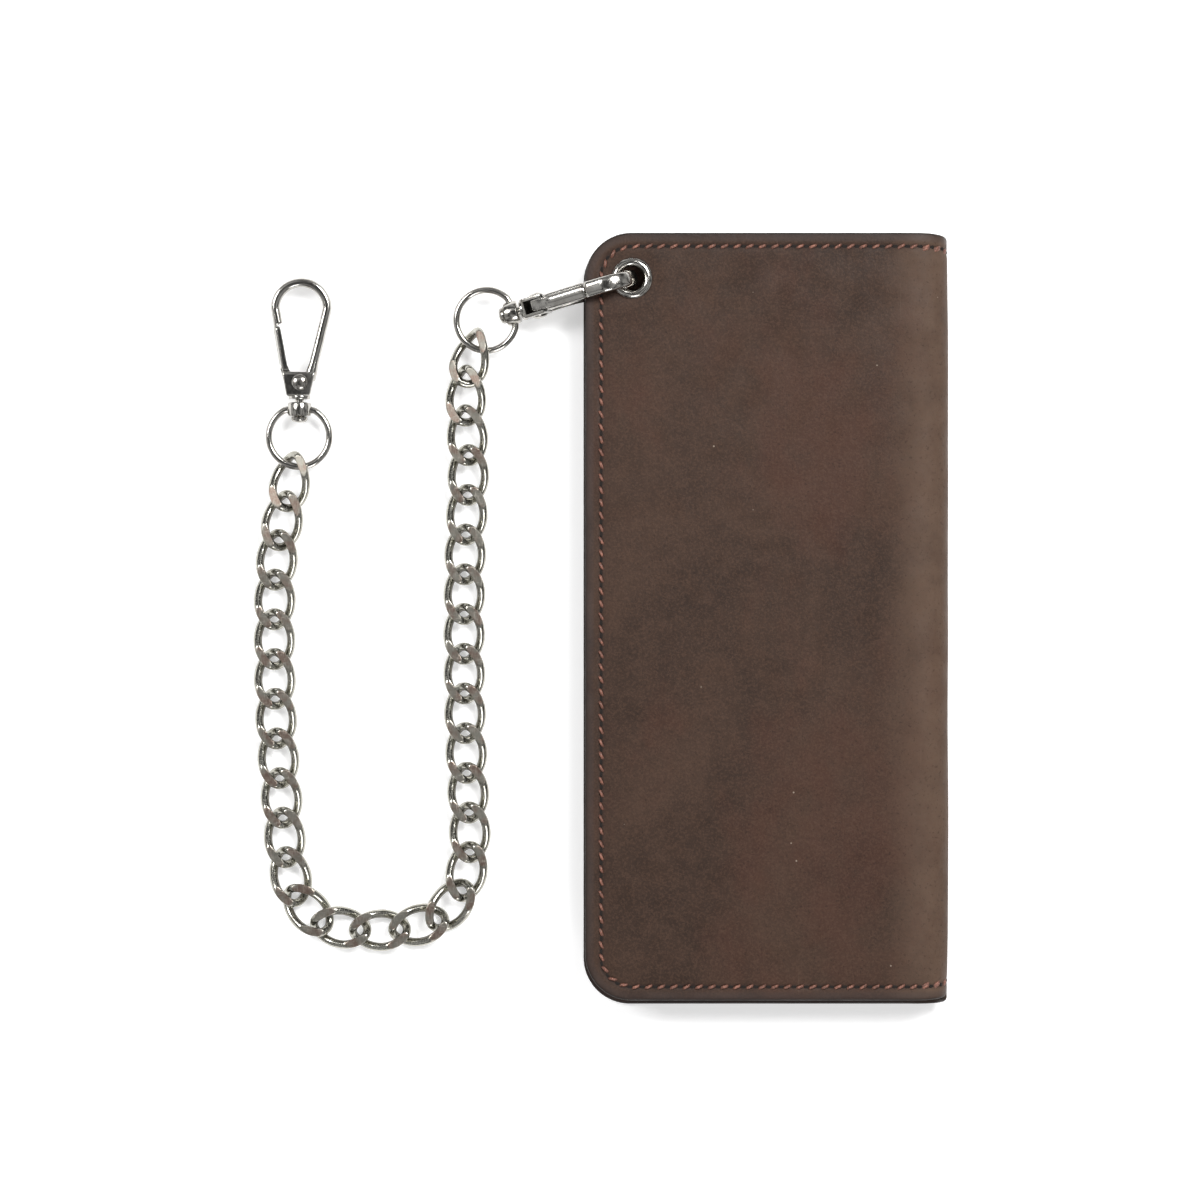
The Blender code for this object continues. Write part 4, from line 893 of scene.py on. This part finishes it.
def zip_teeth(side):
    """A row of small metal teeth: each a short bar across the tape's edge, thicker at its head."""
    y = np.arange(TOOTH_PITCH - ZIP_END, ZIP_END - TOOTH_PITCH, TOOTH_PITCH)
    y = y + (TOOTH_PITCH / 2 if side > 0 else 0)
    along = np.array([0.47, 0.6, 1.0, 1.5, 2.0, 2.05])
    half_y = np.array([0.30, 0.42, 0.34, 0.36, 0.36, 0.25])
    half_z = np.array([0.45, 0.62, 0.62, 0.62, 0.62, 0.45])
    ring_y = np.array([-1, -0.7, 0.7, 1, 1, 0.7, -0.7, -1])
    ring_z = np.array([-0.7, -1, -1, -0.7, 0.7, 1, 1, 0.7])
    x = ZIP_X + side * np.repeat(along[:, None], len(ring_y), axis=1)
    tooth_y = half_y[:, None] * ring_y
    z = (ZIP_LOW[2] + ZIP_HIGH[2]) / 2 + half_z[:, None] * ring_z
    one = np.stack([x, tooth_y, z], axis=-1)
    rings = one[None] + np.stack([0 * y, y, 0 * y], axis=1)[:, None, None]
    return many(rings)


for side, label in ((-1, "left"), (1, "right")):
    piece(f"zip_tape_{label}", zip_tape(side), TAPE_CLOTH, "front_half", (f"zip_side_{label}",))
    piece(f"zip_teeth_{label}", zip_teeth(side), NICKEL, "front_half", sharp=40)


# ---- eyelet --------------------------------------------------------------------------------------
PROFILE_STEPS = 4           # of the smooth line from each profile point to the next


def make_eyelet():
    """The flanged tube with its rolled lip, and the washer that it is turned over on the inside."""
    middle = np.array([EYELET_MIDDLE[0], EYELET_MIDDLE[1], 0])
    low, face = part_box("eyelet")[0][2] / MM, THICKNESS
    lip = smooth_line([
        (5.05, face + 0.02), (5.0, face + 0.22), (4.55, face + 0.62), (3.95, face + 0.80),
        (3.4, face + 0.62), (3.08, face + 0.2), (3.0, face - 0.6), (3.0, low + 0.6), (3.12, low + 0.12),
        (3.5, low + 0.02), (3.45, low + 0.4), (3.34, low + 0.8), (3.34, face - 0.5), (3.6, face - 0.02),
        (4.3, face + 0.06),
    ], PROFILE_STEPS, closed=True)
    low, high = (limit[2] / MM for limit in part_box("eyelet_washer"))
    washer = smooth_line([
        (3.6, high), (4.6, high), (5.05, high - 0.1), (5.05, low + 0.2), (4.6, low), (3.9, low - 0.05),
        (3.6, low + 0.1),
    ], PROFILE_STEPS, closed=True)
    rim, ring = turned_loop(lip, middle, 96), turned_loop(washer, middle, 96)
    piece("eyelet_rim", rim, NICKEL, "front_half", ("eyelet",))
    piece("eyelet_washer_ring", ring, NICKEL, "front_half", ("eyelet_washer",))


make_eyelet()


# ---- snap hooks: lengths along the hook from its body's foot, mm ---------------------------------
ARCH_AT = 21.85
ARCH_RADIUS = 6.45          # of the bar's middle line
FOOT_AT, FOOT_OUT = 4.2, 2.35       # where the bar leaves the body, and how far out from its axis
NOSE_AT, NOSE_OUT = 17.7, 5.62      # where the bar ends, on the gate's side
NOSE_SLANT = 0.32
BAR_POWER = 2.9             # of the bar's section: 2 is an ellipse
WIRE_SIDES = 28             # of the bar's section, and of a link's
BODY_LENGTH = 6.1
BODY_DEPTH = 2.5            # half of it
BODY_EDGE = 0.32            # radius
SLOT_HALF = 1.65            # of the slot for the gate's ears: half its width,
SLOT_START = 0.72           # where it starts along the body,
SLOT_FLOOR = 1.35           # and how far it goes in past the axis
GATE_FROM, GATE_TO = 6.45, 17.25
GATE_ROUND = 0.8            # radius of the gate's outer edges
GATE_BOW = 0.32             # how much its back stands out between them
GATE_FLOOR = 0.75           # thickness of the trough's floor
GATE_WALL = 0.5
TONGUE_ROUND = 0.5
EAR_RADIUS = 1.5
RING_RADIUS = 7.5
RING_WIRE = 0.87
RING_GAP = 3.25             # half the gap that the barrel fills
RING_PINS = (1.85, 2.6)     # the ring's ends stand in the barrel between these
DENT_DEPTH, DENT_RADIUS = 0.35, 0.9     # round each pin, in the barrel


def flat_path(points):
    """Points of a line in the hook's plane, with the line's sideways direction and the plane's
    normal at each."""
    line = np.column_stack([points, np.zeros(len(points))])
    tangent = unit(np.gradient(line, axis=0))
    sideways = np.stack([-tangent[:, 1], tangent[:, 0], 0 * tangent[:, 0]], axis=1)
    return line, sideways, np.tile([0.0, 0.0, 1.0], (len(line), 1))


def hook_loop():
    """The bar: up from the body's shoulder, round the arch and down to a slanting nose.  Its section
    is a squared circle, thicker at the shoulder."""
    turn = np.linspace(math.pi / 2, -math.pi / 2, 49)
    arch = np.stack([ARCH_AT + ARCH_RADIUS * np.cos(turn), ARCH_RADIUS * np.sin(turn)], axis=1)
    leg = np.stack([np.linspace(FOOT_AT, ARCH_AT, 26), 0 * np.ones(26)], axis=1)[:-1]
    share = (leg[:, 0] - FOOT_AT) / (ARCH_AT - FOOT_AT)
    leg[:, 1] = FOOT_OUT + (ARCH_RADIUS - FOOT_OUT) * share ** 0.96
    nose = np.stack([np.linspace(ARCH_AT, NOSE_AT, 9), np.linspace(-ARCH_RADIUS, -NOSE_OUT, 9)], axis=1)[1:]
    line, sideways, normal = flat_path(np.vstack([leg, arch, nose]))
    wide = np.interp(line[:, 0], [FOOT_AT, 6.2, 8.5, ARCH_AT], [1.5, 1.45, 1.2, 1.15])[:, None]
    deep = np.interp(line[:, 0], [FOOT_AT, 6.5, 9.0, ARCH_AT], [2.3, 2.25, 2.05, 2.02])[:, None]
    a, b = squared_circle(wide, deep, BAR_POWER, WIRE_SIDES)
    surface = swept(line, sideways, normal, a, b)
    # the nose's end slants: its inner side stops further back towards the arch
    points = surface[0]
    ends = np.arange((len(line) - 1) * WIRE_SIDES, len(line) * WIRE_SIDES)
    ends = np.append(ends, len(points) - 1)
    points[ends, 0] += NOSE_SLANT * (points[ends, 1] + NOSE_OUT)
    return surface


def mirrored_ring(along, half_y, half_z, more_y=(), more_z=()):
    """A closed ring of points at a place along X: one side of a section, its mirror image about
    z = 0, and any points more."""
    y = np.concatenate([half_y, half_y[::-1], more_y])
    z = np.concatenate([half_z, -half_z[::-1], more_z])
    return np.stack([np.full_like(y, along), y, z], axis=1)


def lofted(rings):
    """Rings of points, all of one length, joined, with one face across each end."""
    rows, columns = len(rings), len(rings[0])
    numbers = np.arange(rows * columns).reshape(rows, columns)
    caps = [numbers[0, ::-1].tolist(), numbers[-1].tolist()]
    return (np.vstack(rings), grid_faces(rows, columns, False, True), NO_TRIANGLES), caps


def cheek_block():
    """The hook's body: a rounded block with a slot for the gate's ears let into its gate side."""
    turn = np.linspace(0, math.pi / 2, 6)
    x = np.array([0, 0.12, 0.3, 0.5, 0.7, 0.75, 3.5, 5.2, 5.7, 5.95, BODY_LENGTH])
    inset = np.array([0.4, 0.16, 0.04, 0, 0, 0, 0, 0, 0.05, 0.15, 0.35])
    low = np.interp(x, [0, BODY_LENGTH], [-3.2, -4.4]) + inset
    high = np.interp(x, [0, BODY_LENGTH], [2.5, 3.8]) - inset
    slot = np.where(x > SLOT_START, SLOT_FLOOR - low, 0.02)
    rings = []
    for along, y_low, y_high, deep, depth in zip(x, low, high, BODY_DEPTH - inset, slot):
        start, end, top = y_low + BODY_EDGE, y_high - BODY_EDGE, deep - BODY_EDGE
        y = np.concatenate([[y_low], start - BODY_EDGE * np.cos(turn), end + BODY_EDGE * np.sin(turn)])
        z = np.concatenate([[SLOT_HALF], top + BODY_EDGE * np.sin(turn), top + BODY_EDGE * np.cos(turn)])
        rings.append(mirrored_ring(along, y, z, [y_low + depth] * 2, [-SLOT_HALF, SLOT_HALF]))
    surface, caps = lofted(rings)
    # painted shade on the slot's floor
    slot_shade = np.zeros((len(x), len(rings[0])))
    slot_shade[x > SLOT_START, -2:] = 1
    return surface, caps, {"recess": slot_shade.ravel()}


def gate_channel():
    """The gate: a bent strip with its trough towards the loop, rounded outside, closed at its tip."""
    x = np.array([GATE_FROM, 6.55, 6.8, 8, 10, 12, 14, 15.6, 16.4, 16.6, 16.95, 17.15, GATE_TO])
    outer = np.interp(x, [GATE_FROM, GATE_TO], [-4.95, -6.95])
    outer = outer + np.interp(x, [GATE_FROM, 6.8, 16.6, GATE_TO], [0.12, 0, 0, 0.45])
    inner = np.interp(x, [GATE_FROM, GATE_TO], [-3.05, -5.25])
    wide = np.interp(x, [GATE_FROM, 6.7, 8, 16.6, GATE_TO], [1.95, 2.05, 2.05, 2.05, 1.75])
    trough = np.where(x < 16.5, 1.0, 0.02)
    turn = np.linspace(0, math.pi / 2, 7)
    rings = []
    for along, y_out, y_in, half, share in zip(x, outer, inner, wide, trough):
        side, back, wall = half - GATE_ROUND, y_out + GATE_BOW + GATE_ROUND, half - GATE_WALL
        y = np.concatenate([[y_in], back - GATE_ROUND * np.sin(turn), [y_out + 0.12, y_out]])
        z = np.concatenate([[half], side + GATE_ROUND * np.cos(turn), [side * 0.72, side * 0.25]])
        floor = y_in - (y_in - y_out - GATE_FLOOR) * share - 0.1 * share
        rings.append(mirrored_ring(along, y, z, [y_in, floor, floor, y_in], [-wall, -wall, wall, wall]))
    return lofted(rings)


def gate_tongue():
    """The narrower foot of the gate, between the body's cheeks."""
    x = np.array([2.5, 2.6, 2.9, 5.0, 6.6, 7.4])
    inset = np.array([0.45, 0.15, 0, 0, 0, 0.1])
    turn = np.linspace(0, math.pi / 2, 6)
    rings = []
    for along, back in zip(x, inset):
        edge, deep = -3.05 - 0.27 * along + back + TONGUE_ROUND, 1.5 - back
        y = np.concatenate([[edge + 1.5, edge], edge - TONGUE_ROUND * np.sin(turn)])
        z = np.concatenate([[deep, deep], deep - TONGUE_ROUND + TONGUE_ROUND * np.cos(turn)])
        rings.append(mirrored_ring(along, y, z))
    return lofted(rings)


def ear(side):
    """One of the gate's two ears: a plate round the rivet that reaches up to the gate's foot."""
    turn = np.linspace(math.radians(70), math.radians(290), 15)
    outline = np.stack([PIVOT_AT + EAR_RADIUS * np.cos(turn), -0.1 + EAR_RADIUS * np.sin(turn)], axis=1)
    outline = np.vstack([outline, [[6.3, -4.75], [7.6, -5.0], [7.6, -3.3], [5.6, -2.2]]])
    middle = outline.mean(axis=0)
    return lofted([
        np.column_stack([middle + (outline - middle) * scale, np.full(len(outline), side * height)])
        for height, scale in ((0.92, 0.97), (0.98, 1.0), (1.38, 1.0), (1.44, 0.97))
    ])


STEM_PROFILE = [
    (0, 0.4), (2.45, 0.4), (2.66, 0.2), (2.7, -0.1), (2.7, -0.5), (2.55, -0.7), (1.2, -0.74), (1.05, -0.9),
    (1.05, -4.9), (1.9, -5.05), (2.1, -5.25), (2.1, -5.7), (1.8, -6.2), (1.1, -6.45), (0, -6.55),
]
BARREL_PROFILE = [
    (1.3, -1.5), (2.5, -1.5), (2.82, -1.62), (2.95, -1.95), (2.95, -4.45), (2.82, -4.78), (2.5, -4.9),
    (1.3, -4.9),
]
RIVET_PROFILE = [
    (0, -3.28), (0.8, -3.22), (1.45, -3.02), (1.85, -2.74), (2.0, -2.5), (1.0, -2.45),
    (1.0, 2.45), (2.0, 2.5), (1.85, 2.74), (1.45, 3.02), (0.8, 3.22), (0, 3.28),
]


def make_hook(suffix):
    """One snap hook: loop, body, stem, gate with its ears, rivet, swivel barrel and split ring."""
    origin, axes = hook_axes(suffix)
    hook, gate, swivel, ring = (f"{part}_{suffix}" for part in ("hook", "gate", "swivel", "ring"))

    def put(name, made, body, nodes=(), sharp=None):
        surface, caps, *fields = made if isinstance(made[1], list) else (made, [])
        piece(
            name, placed(surface, origin, axes), NICKEL, body, nodes, sharp=sharp, caps=caps,
            fields=fields and fields[0],
        )

    x_axis, z_axis, middle = np.array([1.0, 0, 0]), np.array([0, 0, 1.0]), np.zeros(3)
    rivet = turned(RIVET_PROFILE, PIVOT_AT * x_axis, z_axis, 48)
    put(f"{hook}_loop", hook_loop(), hook, (f"hook_body_{suffix}",))
    put(f"{hook}_block", cheek_block(), hook, (), 35)
    put(f"{hook}_stem", turned(STEM_PROFILE, middle, x_axis, 64), hook, (), 40)
    put(f"{hook}_rivet", rivet, hook, (f"gate_rivet_{suffix}",), 50)
    put(f"{gate}_channel", gate_channel(), gate, (gate,), 40)
    put(f"{gate}_tongue", gate_tongue(), gate, (), 40)
    put(f"{gate}_ear_front", ear(1), gate, (), 35)
    put(f"{gate}_ear_back", ear(-1), gate, (), 35)
    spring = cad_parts[f"gate_spring_{suffix}"]
    spring.data.materials.clear()
    spring.data.materials.append(SPRING_STEEL)

    ring_points = node_points(ring)
    ring_middle = ring_points.mean(axis=0)
    pivot = node_middle(swivel)
    away = unit(ring_middle - pivot)
    normal = np.linalg.eigh(np.cov((ring_points - ring_middle).T))[1].T[0]
    pin = np.cross(normal, away)
    barrel = turned(BARREL_PROFILE, middle, x_axis, 72)
    points, quads, triangles = placed(barrel, origin, axes)
    off = points - pivot
    reach = off @ pin
    from_pin = np.linalg.norm(off - reach[:, None] * pin, axis=1)
    dent = DENT_DEPTH * np.exp(-(from_pin / DENT_RADIUS) ** 4) * (np.abs(reach) > 2)
    points = points - (np.sign(reach) * dent)[:, None] * pin
    piece(f"{swivel}_barrel", (points, quads, triangles), NICKEL, swivel, (swivel,), sharp=45)

    centre = pivot + away * math.sqrt(RING_RADIUS ** 2 - RING_GAP ** 2)
    gap = math.asin(RING_GAP / RING_RADIUS)
    turn = np.linspace(math.pi + gap, 3 * math.pi - gap, 140)
    path = centre + RING_RADIUS * (np.cos(turn)[:, None] * away + np.sin(turn)[:, None] * pin)
    tip, bend = (pin * out for out in RING_PINS)
    path = np.vstack([pivot - tip, pivot - bend, path[2:-2], pivot + bend, pivot + tip])
    tangent = unit(np.gradient(path, axis=0))
    u = np.tile(normal, (len(path), 1))
    v = np.cross(tangent, u)
    size = np.full((len(path), 1), RING_WIRE)
    a, b = squared_circle(size, size, 2.0, 24)
    piece(f"{ring}_wire", swept(path, u, v, a, b), NICKEL, ring, (ring,))


make_hook("a")
make_hook("b")


# ---- curb chain ----------------------------------------------------------------------------------
LINK_HALF_LENGTH = 6.7
LINK_HALF_WIDTH = 4.15
LINK_POWER = 2.3
LINK_TWIST = 45.0           # degrees at each end of the link
LINK_WIRE = 1.07
LINK_STEPS = 112            # round the link
GRIND_HEIGHT = 2.02


def curb_link():
    """A link of round wire, bent round a squared ellipse and twisted along its length, then ground
    flat on both faces; with a field that is 1 on the flats and one of painted shade, with some tarnish, on
    the inner side of the wire."""
    path_x, path_y = squared_circle(LINK_HALF_WIDTH, LINK_HALF_LENGTH, LINK_POWER, LINK_STEPS)
    twist = math.radians(LINK_TWIST) * path_y / LINK_HALF_LENGTH
    path = np.stack([path_x * np.cos(twist), path_y, path_x * np.sin(twist)], axis=1)
    tangent = unit(np.roll(path, -1, axis=0) - np.roll(path, 1, axis=0))
    u = np.tile([0.0, 0.0, 1.0], (len(path), 1))
    v = unit(np.cross(tangent, u))
    u = np.cross(v, tangent)
    size = np.full((len(path), 1), LINK_WIRE)
    a, b = squared_circle(size, size, 2.0, WIRE_SIDES)
    points, quads, triangles = swept(path, u, v, a, b, closed=True)
    centres = np.repeat(path, WIRE_SIDES, axis=0)
    inward = -((points - centres) * unit(centres * [1, 0.6, 0.3])).sum(axis=1) / LINK_WIRE
    over = np.clip(np.abs(points[:, 2]) - GRIND_HEIGHT, 0, None)
    points[:, 2] = np.clip(points[:, 2], -GRIND_HEIGHT, GRIND_HEIGHT)
    # the inner side of the wire gets painted shade, which also stands for some tarnish
    fields = {"ground": (over > 0).astype(float), "recess": smooth_step(inward, 0.2, 1.0) * (over == 0)}
    return (points, quads, triangles), fields


LINK_SURFACE, LINK_FIELDS = curb_link()
for number in range(1, 31):
    node = f"link_{number:02d}"
    middle, axes = node_axes(node)
    wire = placed(LINK_SURFACE, middle, axes)
    piece(f"{node}_wire", wire, CHAIN_NICKEL, node, (node,), sharp=28, fields=LINK_FIELDS)

for node in ("zip_slider", "zip_pull"):
    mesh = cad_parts[node].data
    mesh.materials.clear()
    mesh.materials.append(NICKEL)


# ---- floor, light and camera ---------------------------------------------------------------------
VIEW_MIDDLE = (-0.0409, 0.0045)
VIEW_WIDTH = 0.2969
VIEW_DISTANCE = 1.1
SENSOR = 36.0
FOCUS_HEIGHT = 0.008
FLOOR_SIZE = 2.0
FLOOR_GAP = 0.0002


def area_light(name, place, target, size, power, colour=(1, 1, 1)):
    """A soft square light aimed at a point."""
    light = bpy.data.lights.new(name, "AREA")
    light.size = size
    light.energy = power
    light.color = colour
    obj = bpy.data.objects.new(name, light)
    obj.location = place
    direction = Vector(target) - Vector(place)
    obj.rotation_euler = direction.to_track_quat("-Z", "Y").to_euler()
    bpy.context.scene.collection.objects.link(obj)
    return obj


def ranged(tree, output, low, high, start, end):
    """An output's stretch from low to high, as start to end."""
    node = tree.nodes.new("ShaderNodeMapRange")
    for key, value in (("From Min", low), ("From Max", high), ("To Min", start), ("To Max", end)):
        node.inputs[key].default_value = value
    tree.links.new(output, node.inputs["Value"])
    return node.outputs["Result"]


def make_stage():
    """A plain white floor just under the part, a patchy grey surrounding for the metal to mirror,
    three soft lights, and the camera above."""
    n = Nodes("floor", 0.9)
    material = n.finish((0.82, 0.82, 0.82))
    n.shader.inputs["Emission Color"].default_value = (1, 1, 1, 1)
    n.shader.inputs["Emission Strength"].default_value = 0.42
    mesh = bpy.data.meshes.new("floor")
    size, low = FLOOR_SIZE, CAD_BOX[0][2] - FLOOR_GAP
    corners = [(-size, -size, low), (size, -size, low), (size, size, low), (-size, size, low)]
    mesh.from_pydata(corners, [], [(0, 1, 2, 3)])
    mesh.materials.append(material)
    floor = bpy.data.objects.new("floor", mesh)
    bpy.context.scene.collection.objects.link(floor)

    centre = (*VIEW_MIDDLE, 0.0)
    area_light("key", (0.42, 0.50, 0.95), centre, 0.42, 12.0)
    area_light("fill", (-0.75, 0.35, 0.85), centre, 0.35, 7.0)
    area_light("low", (0.15, -0.85, 0.6), centre, 0.4, 3.0)
    world = bpy.data.worlds.new("studio")
    world.use_nodes = True
    tree = world.node_tree
    background = tree.nodes["Background"]
    directions = tree.nodes.new("ShaderNodeTexCoord").outputs["Generated"]
    clouds = tree.nodes.new("ShaderNodeTexNoise")
    clouds.inputs["Scale"].default_value = 2.6
    clouds.inputs["Detail"].default_value = 1.0
    split = tree.nodes.new("ShaderNodeSeparateXYZ")
    product = tree.nodes.new("ShaderNodeMath")
    product.operation = "MULTIPLY"
    tree.links.new(directions, clouds.inputs["Vector"])
    tree.links.new(directions, split.inputs["Vector"])
    patches = ranged(tree, clouds.outputs["Fac"], 0.44, 0.56, 0.03, 0.85)
    overhead = ranged(tree, split.outputs["Z"], 0.88, 0.97, 1.0, 0.4)
    tree.links.new(patches, product.inputs[0])
    tree.links.new(overhead, product.inputs[1])
    tree.links.new(product.outputs[0], background.inputs["Color"])
    background.inputs["Strength"].default_value = 0.6
    bpy.context.scene.world = world
    bpy.context.scene.view_settings.view_transform = "Standard"

    camera = bpy.data.cameras.new("camera")
    camera.sensor_width = SENSOR
    camera.lens = SENSOR * VIEW_DISTANCE / VIEW_WIDTH
    camera.clip_start = 0.05
    obj = bpy.data.objects.new("camera", camera)
    obj.location = (*VIEW_MIDDLE, VIEW_DISTANCE + FOCUS_HEIGHT)
    bpy.context.scene.collection.objects.link(obj)
    bpy.context.scene.camera = obj


make_stage()
